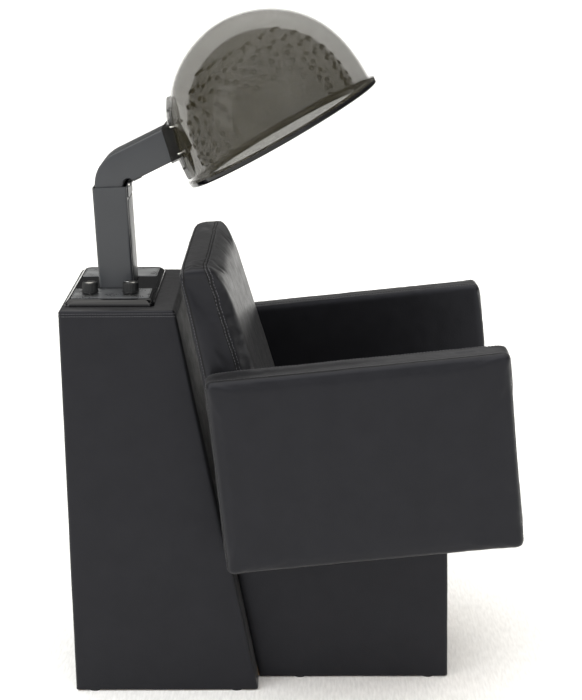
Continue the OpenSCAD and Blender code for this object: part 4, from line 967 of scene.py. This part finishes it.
@dataclass
class WrappedBox:
    """A box of boards wrapped tightly in vinyl, as rings stacked from foot to top.

    Args:
        name: the piece's name.
        node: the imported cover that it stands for.
        half: half its width in millimetres.
        front: foot and top of the front face, as [forward, height].
        rear: foot and top of the rear face, as [forward, height].
        corner: radius of the upright corners.
        wall: thickness of the vinyl and its thin foam.
        window: part of the rear that stays open, as half width and height, or None.
        top_window: half width of the top's opening, then its start and depth, or None.
        closed_rear: whether the cover goes round the rear.
        puff: how far the foam lifts the middle of a face.
        seed: of the unevenness.
        steps: stretches across the width and along the depth.
    """

    name: str
    node: str
    half: float
    front: tuple[tuple[float, float], tuple[float, float]]
    rear: tuple[tuple[float, float], tuple[float, float]]
    corner: float = 6.0
    wall: float = 3.4
    window: Optional[tuple[float, float]] = None
    top_window: Optional[tuple[float, float, float]] = None
    closed_rear: bool = True
    puff: float = 1.6
    seed: int = 61
    steps: tuple[int, int] = (48, 44)

    def edge_at(self, line: tuple, z: float) -> float:
        """Distance forward of a slanted face at a height."""
        (d0, z0), (d1, z1) = line
        return d0 + (d1 - d0) * (z - z0) / (z1 - z0)

    def ring(self, z_share: float, inset: float, drop: float) -> list[Vector]:
        """One ring of points, clockwise seen from above, at a share of the height."""
        (df0, zf0), (df1, zf1) = self.front
        (dr0, zr0), (dr1, zr1) = self.rear
        front = df0 + (df1 - df0) * z_share - inset
        rear = dr0 + (dr1 - dr0) * z_share + (inset if self.closed_rear else 0)
        zf = zf0 + (zf1 - zf0) * z_share - drop
        zr = zr0 + (zr1 - zr0) * z_share - drop
        half = self.half - inset
        r = max(self.corner - inset, 0.6)
        ways = ((1, 0), (0, 1), (-1, 0), (0, -1))
        middles = ((half - r, rear + r), (half - r, front - r),
                   (r - half, front - r), (r - half, rear + r))
        sides = []
        for q, ((wx, wd), (nx, nd)) in enumerate(zip(ways, ways[1:] + ways[:1])):
            (x0, d0), (x1, d1) = middles[q - 1], middles[q]
            steps = self.steps[q % 2]
            for t in (k / steps for k in range(1, steps + 1)):
                sides.append((x0 + (x1 - x0) * t - nx * r, d0 + (d1 - d0) * t - nd * r))
            for a in quarter(4, 1):
                c, s = math.cos(a) * r, math.sin(a) * r
                sides.append((x1 + wx * s - nx * c, d1 + wd * s - nd * c))
        out = []
        for x, d in sides:
            t = 0 if front == rear else (d - rear) / (front - rear)
            out.append(Vector((x * MM, REAR - d * MM, (zr + (zf - zr) * t) * MM)))
        return out

    def build(self, seams: Sequence[Seam]) -> Mesh:
        """Lofts the skin, opens its windows, sews it and gives it a wall."""
        height = self.front[1][1] - self.front[0][1]
        rows = max(int(height / 8), 8)
        rings = [self.ring((k / rows) * (1 - self.corner / height), 0, 0) for k in range(rows + 1)]
        if self.top_window:
            for a in quarter(4, 1):
                rings.append(self.ring(1, self.corner * (1 - math.cos(a)),
                                       self.corner * (1 - math.sin(a))))
            inner = self.half - self.top_window[0]
            for k in range(1, 8):
                rings.append(self.ring(1, self.corner + (inner - self.corner) * k / 7, 0))
        count = len(rings[0])
        points = [p for ring in rings for p in ring]
        faces = []
        for i in range(len(rings) - 1):
            for j in range(count):
                quad = (i * count + j, i * count + (j + 1) % count,
                        (i + 1) * count + (j + 1) % count, (i + 1) * count + j)
                middle = sum((points[q] for q in quad), Vector()) / 4
                if not self.open_at(middle):
                    faces.append(quad)
        obj = mesh_object(self.name, points, [], faces)
        edit(obj, "VERT", lambda v: not v.link_faces, bpy.ops.mesh.delete, type="VERT")
        outward(obj)
        self.swell(obj)
        Upholstery.settle_waves(obj, 0.45, 80.0, self.seed)
        Upholstery.sew(obj, seams, self.seed)
        thread = Upholstery.stitches(self.name + "_stitches", obj, seams)
        modify(obj, "SOLIDIFY", thickness=self.wall * MM, offset=-1)
        smooth(obj, 50)
        hand_over(obj, Look.VINYL, replaces=[self.node])
        if seams:
            Upholstery.finish_thread(thread)
        else:
            removed(thread)
        return obj

    def open_at(self, p: Vector) -> bool:
        """Whether a point lies in a window or an open side."""
        forward, z, x = (REAR - p.y) / MM, p.z / MM, abs(p.x) / MM
        rear = self.edge_at(self.rear, z)
        if self.window and forward < rear + 2 and x < self.window[0] and z < self.window[1]:
            return True
        return not self.closed_rear and forward < rear + 1.0 and x < self.half - self.corner

    def swell(self, obj: Mesh) -> None:
        """Lifts each face a little in its middle, as thin foam under vinyl does."""
        low, high = self.front[0][1], self.front[1][1]
        normals = [v.normal.copy() for v in obj.data.vertices]
        for v, normal in zip(obj.data.vertices, normals):
            x, z = v.co.x / MM, v.co.z / MM
            forward = (REAR - v.co.y) / MM
            up = max(0.0, min(1.0, (z - low) / (high - low)))
            rise = 1 - abs(2 * up - 1) ** 5
            rear, front = self.edge_at(self.rear, z), self.edge_at(self.front, z)
            if abs(normal.x) > 0.7:
                t = 2 * (forward - rear) / max(front - rear, 1) - 1
                v.co += normal * self.puff * MM * rise * max(0.0, 1 - abs(t) ** 5)
            elif abs(normal.y) > 0.7:
                v.co += normal * self.puff * MM * rise * max(0.0, 1 - abs(x / self.half) ** 5)


@dataclass
class Cabinet:
    """The upholstered dryer cabinet and the plinth cover, in millimetres."""

    height: float = 787.0
    half: float = 187.0
    foot: float = 3.0
    lean: float = 6.0
    top_depth: float = 222.0
    foot_depth: float = 366.0
    plinth_half: float = 127.0
    plinth_front: float = 758.0
    seam_drop: float = 9.0
    service_window: tuple[float, float] = (183.0, 420.0)
    tray_window: tuple[float, float, float] = (143.0, 8.0, 180.0)

    def build(self) -> None:
        """Builds the cabinet's cover and the plinth's cover."""
        front_foot = self.lean + self.foot_depth
        h = self.height
        slope = (front_foot - self.top_depth) / (h - self.foot)
        front = self.top_depth + self.seam_drop * slope
        corners = [Vector((x * MM, REAR - d * MM, (h - self.seam_drop) * MM)) for x, d in (
            (-self.half, 0), (self.half, 0), (self.half, front), (-self.half, front))]
        seam = Seam(loop_path(corners, 8), True, (2.6, -2.6), 1.2, 0.35, 5.0, False)
        cover = WrappedBox("cabinet_vinyl", "cabinet_cover", self.half,
                           ((front_foot, self.foot), (self.top_depth, h)),
                           ((self.lean, self.foot), (0.0, h)), window=self.service_window,
                           top_window=self.tray_window)
        cover.build([seam])
        self.plinth(front_foot)

    def plinth(self, front_foot: float) -> None:
        """Builds the plinth's cover, open at the rear where it meets the cabinet."""
        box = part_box("plinth_cover")
        top_front = box[1].z / MM - 0.2
        rear_top = self.plinth_rear_height()
        slope = (front_foot - self.top_depth) / (self.height - self.foot)
        rear_top_d = self.top_depth + (self.height - rear_top) * slope
        lean = math.tan(math.radians(1.0)) * (top_front - self.foot)
        WrappedBox("plinth_vinyl", "plinth_cover", self.plinth_half,
                   ((self.plinth_front, self.foot), (self.plinth_front - lean, top_front)),
                   ((front_foot + 0.5, self.foot), (rear_top_d + 0.5, rear_top)),
                   closed_rear=False, puff=1.2, seed=83).build([])

    def plinth_rear_height(self) -> float:
        """Height at which the raked underside meets the cabinet's front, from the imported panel."""
        corners = [v.co for v in frame["nodes"]["plinth_left_panel"].data.vertices]
        rear = max(c.y for c in corners if c.z > 0.1)
        return min(c.z for c in corners if c.z > 0.1 and c.y > rear - 1e-4) / MM - 0.2


# ---------------------------------------------------------------- hood
@dataclass
class Hood:
    """The smoked dome, its perforated bowl and its rim, in millimetres.

    Its own frame has Z along the axis, +Y at the rear, and the rim's plane at zero.
    """

    tilt: float = 29.35
    twist: float = 2.2
    flank: float = 1.08
    shoulder: float = 0.74
    dome_r: float = 198.9
    dome_height: float = 246.3
    dome_wall: float = 3.0
    bowl_r: float = 167.0
    bowl_height: float = 210.5
    bowl_wall: float = 2.5
    rim_r: float = 207.7
    seat: float = 6.0
    hole_r: float = 3.2
    mount: float = 93.8
    reach: float = 113.7
    hole_pitch: float = 38.0
    row_shares: tuple[float, ...] = (0.514, 0.643, 0.754, 0.867)
    low_shares: tuple[float, ...] = (0.133, 0.2, 0.31, 0.415)
    low_sectors: tuple[tuple[float, float, int], ...] = ((-57, 57, 6), (137, 223, 5))

    @property
    def place(self) -> Matrix:
        """The hood's frame, carried from the hinge along the arm to the mount."""
        arm = ArmDuct()
        on_arm = Matrix.Translation((0, -self.reach * MM, (arm.outer + arm.low) / 2 * MM))
        back = Matrix.Translation((0, -self.radius(self.dome_r, self.dome_height, self.mount) * MM,
                                   -self.mount * MM))
        aim = turned("X", arm.tilt - self.tilt) @ turned("Y", self.twist)
        return arm.place @ on_arm @ aim @ back

    def point(self, a: float, h: float, t: float) -> tuple[float, float]:
        """A point of a shell's profile: nearly upright below, with a full shoulder."""
        return a * math.cos(t) ** self.flank, h * math.sin(t) ** self.shoulder

    def angle(self, h: float, z: float) -> float:
        """The profile's angle at a height."""
        return math.asin(min(max(z / h, 0.0), 1.0) ** (1 / self.shoulder))

    def radius(self, a: float, h: float, z: float) -> float:
        """Radius of a shell at a height."""
        return self.point(a, h, self.angle(h, z))[0]

    def curve(self, a: float, h: float, low: float, steps: int) -> list[tuple[float, float]]:
        """Profile of a shell from a height up to the pole, in metres."""
        start = self.angle(h, low)
        out = []
        for i in range(steps):
            r, z = self.point(a, h, start + (math.pi / 2 - start) * i / steps)
            out.append(mm(r, z))
        return out + [(0.0, h * MM)]

    def shell(self, name: str, a: float, h: float, flange_r: float, wall: float,
              fillet: float) -> Mesh:
        """Turns a shell with its flange and a rounded foot, and gives it a wall."""
        body = self.curve(a, h, self.seat + wall + fillet, 44)
        foot_r, foot_z = body[0][0], (self.seat + wall) * MM
        bend = [(foot_r + fillet * MM * (1 - math.sin(t)), foot_z + fillet * MM * (1 - math.cos(t)))
                for t in quarter(4)[:-1]]
        obj = spun(name, [(flange_r * MM, foot_z)] + bend + body)
        modify(obj, "SOLIDIFY", thickness=wall * MM, offset=-1, use_even_offset=True)
        return obj

    def shell_normal(self, a: float, h: float, p: Vector, z: float) -> Vector:
        """Outward direction of a shell beside a point, at a height."""
        slope = (self.radius(a, h, z + 0.3) - self.radius(a, h, z - 0.3)) / 0.6
        flat = Vector((p.x, p.y, 0))
        way = flat.normalized() if flat.length > 1e-4 else Vector((0, 0, 0))
        return Vector((way.x, way.y, -slope)).normalized()

    def true_normals(self, obj: Mesh, a: float, h: float) -> None:
        """Gives the shell the normals of its curve, so that cuts leave no ripples."""
        data = obj.data
        near = []
        for poly in data.polygons:
            for loop in poly.loop_indices:
                p = data.vertices[data.loops[loop].vertex_index].co / MM
                z = min(max(p.z, 0.5), h - 0.4)
                normal = self.shell_normal(a, h, p, z)
                if p.z > h - 3:
                    normal = normal.lerp(Vector((0, 0, 1)), (p.z - h + 3) / 3).normalized()
                if p.z < self.seat + 14:
                    normal = poly.normal
                side = normal.dot(poly.normal)
                near.append(normal if side > 0.85 else -normal if side < -0.85 else poly.normal)
        data.polygons.foreach_set("use_smooth", [True] * len(data.polygons))
        data.normals_split_custom_set([tuple(n) for n in near])

    def dome(self) -> None:
        """Builds the clear dome, opened where the arm's duct blows in."""
        obj = self.shell("dome_smoked", self.dome_r, self.dome_height, self.rim_r, self.dome_wall,
                         4.0)
        obj.data.transform(self.place)
        self.pierce(obj)
        obj.data.transform(self.place.inverted())
        self.true_normals(obj, self.dome_r, self.dome_height)
        obj.data.transform(self.place)
        hand_over(obj, Look.SMOKE, "hood_arm", ["outer_dome"])

    def pierce(self, obj: Mesh) -> None:
        """Cuts the duct's opening."""
        arm = ArmDuct()
        half, low, high = arm.half + 0.3, arm.low - 0.3, arm.outer + 0.3
        hole = block("duct_hole", mm(-half, -190, low), mm(half, 30, high))
        hole.data.transform(arm.place)
        cut(obj, hole)

    def bowl(self) -> None:
        """Builds the inner bowl with its rows of air holes; their walls are coloured near-black as painted shade.
        """
        obj = self.shell("bowl_smoked", self.bowl_r, self.bowl_height, self.dome_r - 4.5,
                         self.bowl_wall, 3.0)
        cutters = []
        tool = drum("air_hole", self.hole_r * MM, 24 * MM, 14)
        tool.data.transform(Matrix.Translation((0, 0, -12 * MM)))
        for z, azimuth in self.hole_places():
            cutters.append(copied(tool, self.on_bowl(z, azimuth)))
        removed(tool)
        cutter = joined("air_holes", cutters)
        cut(obj, cutter)
        LOG.info("bowl: %d holes, %d faces", len(self.hole_places()), len(obj.data.polygons))
        self.true_normals(obj, self.bowl_r, self.bowl_height)
        edges = [p.index for p in obj.data.polygons if self.is_hole_edge(p)]
        obj.data.transform(self.place)
        self.collars()
        hand_over(obj, Look.BOWL, "hood_arm", ["inner_bowl"])
        # The hole walls get the painted hole shade.
        obj.data.materials.append(Look.HOLE_SHADE.value.build())
        for index in edges:
            obj.data.polygons[index].material_index = 1

    def collars(self) -> None:
        """Builds the small raised collar round every air hole, coloured near-black as painted shade round the
        hole.
        """
        r = self.hole_r
        profile = [(r - 0.7, -0.5), (r - 0.7, 0.4), (r, 1.2), (r + 1.2, 1.3), (r + 1.9, 0.8),
                   (r + 2.2, -0.5), (r - 0.7, -0.5)]
        tool = spun("collar", [mm(a, b) for a, b in profile], 14)
        rings = [copied(tool, self.on_bowl(z, azimuth)) for z, azimuth in self.hole_places()]
        removed(tool)
        obj = joined("air_hole_collars", rings)
        smooth(obj, 50)
        obj.data.transform(self.place)
        hand_over(obj, Look.HOLE_SHADE, "hood_arm")

    def is_hole_edge(self, poly: bpy.types.MeshPolygon) -> bool:
        """Whether a face lies in the wall of an air hole."""
        z = poly.center.z / MM
        if not self.seat + 12 < z < self.bowl_height - 5:
            return False
        return abs(self.shell_normal(self.bowl_r, self.bowl_height, poly.center / MM, z)
                   .dot(poly.normal)) < 0.5

    def hole_places(self) -> list[tuple[float, float]]:
        """Height and azimuth of every air hole."""
        out = []
        for i, share in enumerate(self.row_shares):
            z = share * self.bowl_height
            around = 2 * math.pi * self.radius(self.bowl_r, self.bowl_height, z)
            count = int(around / self.hole_pitch)
            out += [(z, 360 * (k + (i + 1) % 2 / 2) / count) for k in range(count)]
        for share in self.low_shares:
            for first, last, count in self.low_sectors:
                out += [(share * self.bowl_height, first + (last - first) * k / (count - 1))
                        for k in range(count)]
        return out

    def on_bowl(self, z: float, azimuth: float) -> Matrix:
        """A frame on the bowl's outside, Z outwards."""
        a, h = self.bowl_r, self.bowl_height
        slope = math.degrees(math.atan((self.radius(a, h, z - 1) - self.radius(a, h, z + 1)) / 2))
        out = Matrix.Translation((0, self.radius(a, h, z) * MM, z * MM))
        return turned("Z", azimuth) @ out @ turned("X", slope - 90)

    def rim(self) -> None:
        """Builds the dark rim: a rounded band with a rolled lower lip."""
        low, top = -3.0, self.seat
        inner, outer = self.bowl_r - self.bowl_wall - 2, self.rim_r - 0.6
        profile = [(inner, top), (outer, top)]
        roll = 3.4
        for a in quarter(6):
            profile.append((outer - roll * (1 - math.cos(a)), low + roll * (1 - math.sin(a))))
        for a in quarter(6):
            profile.append((inner + roll * (1 - math.sin(a)), low + roll * (1 - math.cos(a))))
        profile.append((inner, top))
        obj = spun("rim_band", [mm(r, z) for r, z in profile])
        smooth(obj, 40)
        obj.data.transform(self.place)
        hand_over(obj, Look.GLOSS, "hood_arm", ["rim_trim"])

    def build(self) -> None:
        """Builds the hood."""
        self.dome()
        self.bowl()
        self.rim()


@dataclass
class ArmDuct:
    """The bent steel arm that carries the hood and its air, in millimetres."""

    tilt: float = 26.0
    half: float = 49.0
    outer: float = 66.5
    low: float = 3.0
    end: float = 133.7
    notch: float = 12.0
    last_angle: float = 166.0

    @property
    def place(self) -> Matrix:
        """The arm's frame: X along the hinge, -Y along the arm."""
        for joint in frame["joints"]:
            if joint["name"] == "arm_lift":
                return Matrix.Translation(Vector(joint["pos_m"])) @ turned("X", -self.tilt)
        raise ValueError("the arm has no hinge")

    def build(self) -> None:
        """Builds the duct with softly rounded edges and open ends."""
        underside = math.degrees(math.asin(self.low / self.notch))
        outline = [(self.end, self.outer)]
        for radius, first, last, steps in ((self.outer, 90.0, self.last_angle, 32),
                                           (self.notch, self.last_angle, underside, 16)):
            for k in range(steps + 1):
                a = math.radians(first + (last - first) * k / steps)
                outline.append((radius * math.cos(a), radius * math.sin(a)))
            if radius == self.outer:
                mouth = len(outline) - 1
        outline.append((self.end, self.low))
        count = len(outline)
        points = [Vector((s * self.half * MM, -a * MM, b * MM))
                  for s in (-1, 1) for a, b in outline]
        skins = [(i, i + 1, count + i + 1, count + i) for i in range(count - 1) if i != mouth]
        faces = skins + [tuple(range(count)), tuple(reversed(range(count, 2 * count)))]
        obj = mesh_object("arm_duct_coated", points, [], faces)
        outward(obj)
        bevelled(obj, lambda e: len(e.link_faces) == 2 and e.calc_face_angle(0) > 0.7
                 and abs(e.verts[0].co.x - e.verts[1].co.x) < 1e-6, 3.2, 4)
        modify(obj, "SOLIDIFY", thickness=1.5 * MM, offset=-1)
        smooth(obj, 30)
        obj.data.transform(self.place)
        hand_over(obj, Look.POST, "hood_arm", ["arm_duct"])


# ---------------------------------------------------------------- controls
@dataclass
class ControlTray:
    """The moulded tray on the cabinet with its plates and two knobs, in millimetres."""

    low: float = 787.0
    high: float = 800.0
    half: float = 157.0
    start: float = 8.0
    depth: float = 172.0
    slope: float = 8.0
    knob_side: float = -95.0
    places: tuple[float, float] = (51.5, 130.5)
    knob_r: float = 16.5
    knob_height: float = 21.0
    plate: float = 0.6
    post_half: float = 54.0
    post_span: tuple[float, float] = (63.2, 133.2)
    border: tuple[float, float, float, float] = (60.5, 133.5, 20.5, 167.5)
    line: float = 0.7
    ink: float = 0.12
    ribs: int = 32

    def build(self) -> None:
        """Builds the tray, plates and knobs."""
        self.tray()
        self.plates()
        self.knob("timer_knob_ribbed", "timer_knob", "timer_control", self.places[0], 35)
        self.knob("heat_knob_ribbed", "heat_knob", "heat_control", self.places[1], -20)

    def tray(self) -> None:
        """Builds the tray as a tapered, rounded moulding with an opening for the post."""
        end = self.start + self.depth
        obj = block("tray_moulded", (-self.half * MM, REAR - end * MM, self.low * MM),
                    (self.half * MM, REAR - self.start * MM, self.high * MM))
        middle = REAR - (self.start + self.depth / 2) * MM
        edit(obj, "FACE", lambda f: f.normal.z > 0.9, bpy.ops.transform.translate,
             value=(0, 0, -8 * MM))
        edit(obj, "FACE", lambda f: f.normal.z > 0.9, bpy.ops.mesh.extrude_region_move,
             TRANSFORM_OT_translate={"value": (0, 0, 8 * MM)})
        for v in obj.data.vertices:
            if v.co.z > (self.high - 0.1) * MM:
                v.co.x -= math.copysign(self.slope * MM, v.co.x)
                v.co.y -= math.copysign(self.slope * MM, v.co.y - middle)
        bevelled(obj, lambda e: abs(e.verts[0].co.z - e.verts[1].co.z) > 3 * MM, 11, 6)
        bevelled(obj, lambda e: min(e.verts[0].co.z, e.verts[1].co.z) > (self.low + 1) * MM
                 and abs(e.verts[0].co.z - e.verts[1].co.z) < 1e-5
                 and e.calc_face_angle(0) > 0.3, 3, 4)
        edit(obj, "FACE", lambda f: f.normal.z < -0.9, bpy.ops.mesh.delete, type="FACE")
        modify(obj, "SOLIDIFY", thickness=2.6 * MM, offset=-1)
        near, far = self.post_span
        hole = block("post_hole", (-self.post_half * MM, REAR - far * MM, 0.77),
                     (self.post_half * MM, REAR - near * MM, 0.83))
        bevelled(hole, lambda e: abs(e.verts[0].co.z - e.verts[1].co.z) > 0.01, 6, 5)
        cut(obj, hole)
        for place in self.places:
            hole = drum("shaft_hole", 4 * MM, 30 * MM, 32)
            hole.data.transform(placed(self.knob_side, place, self.low))
            cut(obj, hole)
        smooth(obj, 30)
        hand_over(obj, Look.GLOSS, replaces=["control_tray"])

    def plates(self) -> None:
        """Builds the printed marks and the thin border lines of the two plates."""
        marks = []
        for place in self.places:
            for k in range(13):
                a = math.radians(-150 + 25 * k)
                long_mark = k % 3 == 0
                inner, outer = 19.5, 24.0 if long_mark else 22.2
                half = self.line / 2
                mark = block("tick", mm(-half, inner, 0), mm(half, outer, self.ink))
                mark.data.transform(placed(self.knob_side, place, self.high + self.plate)
                                    @ Matrix.Rotation(-a, 4, "Z"))
                marks.append(mark)
        for side in (-1, 1):
            x0, x1 = sorted(side * x for x in self.border[:2])
            d0, d1 = self.border[2:]
            w, top = self.line, self.high + self.plate
            for ax, bx, ad, bd in ((x0, x1, d0, d0 + w), (x0, x1, d1 - w, d1),
                                   (x0, x0 + w, d0, d1), (x1 - w, x1, d0, d1)):
                marks.append(block("line", (ax * MM, REAR - bd * MM, top * MM),
                                   (bx * MM, REAR - ad * MM, (top + self.ink) * MM)))
        hand_over(joined("plate_marks", marks), Look.MARK)

    def knob(self, name: str, node: str, body: str, place: float, turn: float) -> None:
        """Builds one ribbed knob with a dished cap and a pointer line."""
        r, h = self.knob_r, self.knob_height
        profile = [(0.0, 0.8), (r * 0.93, 0.8), (r, 1.4), (r, 3.2), (r - 1.0, 4.0),
                   (r - 1.0, h - 3.0), (r - 1.6, h - 1.2), (r - 2.8, h - 0.2), (r - 3.6, h),
                   (r - 5.0, h - 0.1), (r - 6.0, h - 0.8), (0.0, h - 1.0)]
        obj = spun(name, [mm(a, b) for a, b in profile], 96)
        for v in obj.data.vertices:
            far = math.hypot(v.co.x, v.co.y)
            z = v.co.z / MM
            if 3.5 < z < h - 0.6 and far > (r - 2.2) * MM:
                rib = 0.5 + 0.5 * math.cos(math.atan2(v.co.y, v.co.x) * self.ribs)
                fade = min(1, (h - 0.6 - z) / 2)
                v.co.xy *= 1 - 0.055 * (1 - rib) * fade
        smooth(obj, 30)
        pointer = block("pointer", mm(-0.6, 4, h - 1.2), mm(0.6, r - 3.5, h + 0.15))
        disc = ((0.0, h - 0.2), (8.6, h - 0.2), (9.2, h - 0.5), (9.2, h - 1.2), (0.0, h - 1.2))
        cap = spun("cap", [mm(a, b) for a, b in disc], 64)
        smooth(cap, 30)
        at = placed(self.knob_side, place, self.high + self.plate + 1.0) @ turned("Z", turn)
        for piece in (obj, pointer, cap):
            piece.data.transform(at)
        pointer.name = name + "_pointer"
        cap.name = name + "_cap"
        hand_over(obj, Look.MATT, body, [node])
        hand_over(cap, Look.BRIGHT, body)
        hand_over(pointer, Look.LABEL, body)


@dataclass
class PostDetails:
    """The cover plate on the post's front, in millimetres."""

    lean: float = 2.3
    foot: float = 98.2
    half_depth: float = 33.5

    @property
    def place(self) -> Matrix:
        """The post's frame: Z up the post from the tray's top."""
        return placed(0, self.foot, 800.0) @ turned("X", -self.lean)

    def build(self) -> None:
        """Builds the cover plate on the post's front."""
        y = -self.half_depth
        plate = block("post_front_plate", mm(-41, y - 0.9, 2), mm(41, y, 172))
        bevelled(plate, lambda e: max(v.co.y for v in e.verts) < (y - 0.5) * MM, 0.5, 2)
        smooth(plate, 40)
        plate.data.transform(self.place)
        hand_over(plate, Look.POST)


# ---------------------------------------------------------------- studio
@dataclass
class Studio:
    """A pale floor, an even soft sky and the camera, in metres."""

    camera_at: tuple[float, float, float] = (-3.332005, -0.018201, 1.548928)
    yaw: float = -0.006
    pitch: float = 0.261
    roll: float = -0.005
    focal_px: float = 1709.216
    sensor: float = 36.0
    bands: tuple[tuple[float, float, float], ...] = ((22.0, 12.0, 0.6), (305.0, 26.0, 1.0))

    def camera(self) -> None:
        """Creates the camera."""
        data = bpy.data.cameras.new("camera")
        data.sensor_width = self.sensor
        data.lens = self.focal_px / max(IMAGE_SIZE) * self.sensor
        data.clip_end = 200
        cam = bpy.data.objects.new("camera", data)
        bpy.context.scene.collection.objects.link(cam)
        level = Vector((math.cos(self.yaw), -math.sin(self.yaw), 0))
        right = Vector((-math.sin(self.yaw), -math.cos(self.yaw), 0))
        ahead = level * math.cos(self.pitch) - Vector((0, 0, math.sin(self.pitch)))
        up = Vector((0, 0, math.cos(self.pitch))) + level * math.sin(self.pitch)
        x = right * math.cos(self.roll) + up * math.sin(self.roll)
        y = up * math.cos(self.roll) - right * math.sin(self.roll)
        turn = Matrix((x, y, -ahead)).transposed().to_4x4()
        cam.matrix_world = Matrix.Translation(self.camera_at) @ turn
        bpy.context.scene.camera = cam

    def sky(self) -> None:
        """Lights the room from an even ceiling that fades towards the walls."""
        world = bpy.data.worlds.new("room")
        bpy.context.scene.world = world
        world.use_nodes = True
        tree = world.node_tree
        back = tree.nodes["Background"]
        way = add_node(tree, "ShaderNodeTexCoord").outputs["Generated"]
        parts = add_node(tree, "ShaderNodeSeparateXYZ", links={"Vector": way})
        tone = ramp(tree, parts.outputs["Z"], [
            (0.0, (0.05, 0.05, 0.05, 1)), (0.3, (0.09, 0.09, 0.09, 1)), (0.5, (0.7, 0.69, 0.67, 1)),
            (0.75, (1.8, 1.78, 1.72, 1)), (1.0, (2.5, 2.46, 2.36, 1))])
        round_way = add_node(tree, "ShaderNodeTexGradient", links={"Vector": way},
                             gradient_type="RADIAL")
        bands = ramp(tree, round_way.outputs["Fac"], self.band_stops())
        facing = add_node(tree, "ShaderNodeMath", {1: -1.0}, {0: parts.outputs["X"]},
                          operation="MULTIPLY")
        fill = ramp(tree, facing.outputs[0], [(0.2, (0, 0, 0, 1)), (0.8, (0.7, 0.7, 0.72, 1))])
        light = tone.outputs["Color"]
        for more in (bands, fill):
            both = add_node(tree, "ShaderNodeMix", {"Factor": 1.0}, data_type="RGBA",
                            blend_type="ADD", links={6: light, 7: more.outputs["Color"]})
            light = both.outputs[2]
        tree.links.new(light, back.inputs["Color"])
        back.inputs["Strength"].default_value = 1.0
        bpy.context.scene.view_settings.view_transform = "Standard"

    def band_stops(self) -> list[tuple[float, tuple]]:
        """Two soft upright bands of light, as stops round the room."""
        stops = [(0.0, (0, 0, 0, 1))]
        for middle, half, tone in self.bands:
            at = middle / 360
            wide = half / 360
            stops += [(at - wide, (0, 0, 0, 1)), (at - wide * 0.3, (tone, tone, tone, 1)),
                      (at + wide * 0.3, (tone, tone, tone, 1)), (at + wide, (0, 0, 0, 1))]
        return stops

    def lamp(self, name: str, size: tuple[float, float], at: tuple, target: tuple,
             power: float) -> None:
        """Adds one softbox."""
        data = bpy.data.lights.new(name, "AREA")
        data.shape = "RECTANGLE"
        data.size, data.size_y = size
        data.energy = power
        lamp = bpy.data.objects.new(name, data)
        lamp.location = at
        lamp.rotation_euler = (Vector(target) - Vector(at)).to_track_quat("-Z", "Y").to_euler()
        bpy.context.scene.collection.objects.link(lamp)

    def floor(self) -> None:
        """Lays the floor."""
        bpy.ops.object.select_all(action="DESELECT")
        bpy.ops.mesh.primitive_plane_add(size=160, location=(0, 0, 0))
        obj = settle(bpy.context.object, "floor")
        dress(obj, Look.FLOOR)

    def build(self) -> None:
        """Builds the studio."""
        self.camera()
        self.sky()
        self.floor()
        self.lamp("softbox_rear", (1.2, 2.0), (-1.8, 2.4, 1.6), (-0.2, 0, 0.8), 14)


def main() -> None:
    """Builds the studio, then each sub-assembly."""
    logging.basicConfig(level=logging.INFO, format="%(message)s")
    Studio().build()
    dress_frame()
    Hood().build()
    ArmDuct().build()
    PostDetails().build()
    ControlTray().build()
    Cabinet().build()
    SeatUnit().build()


if __name__ == "__main__":
    main()
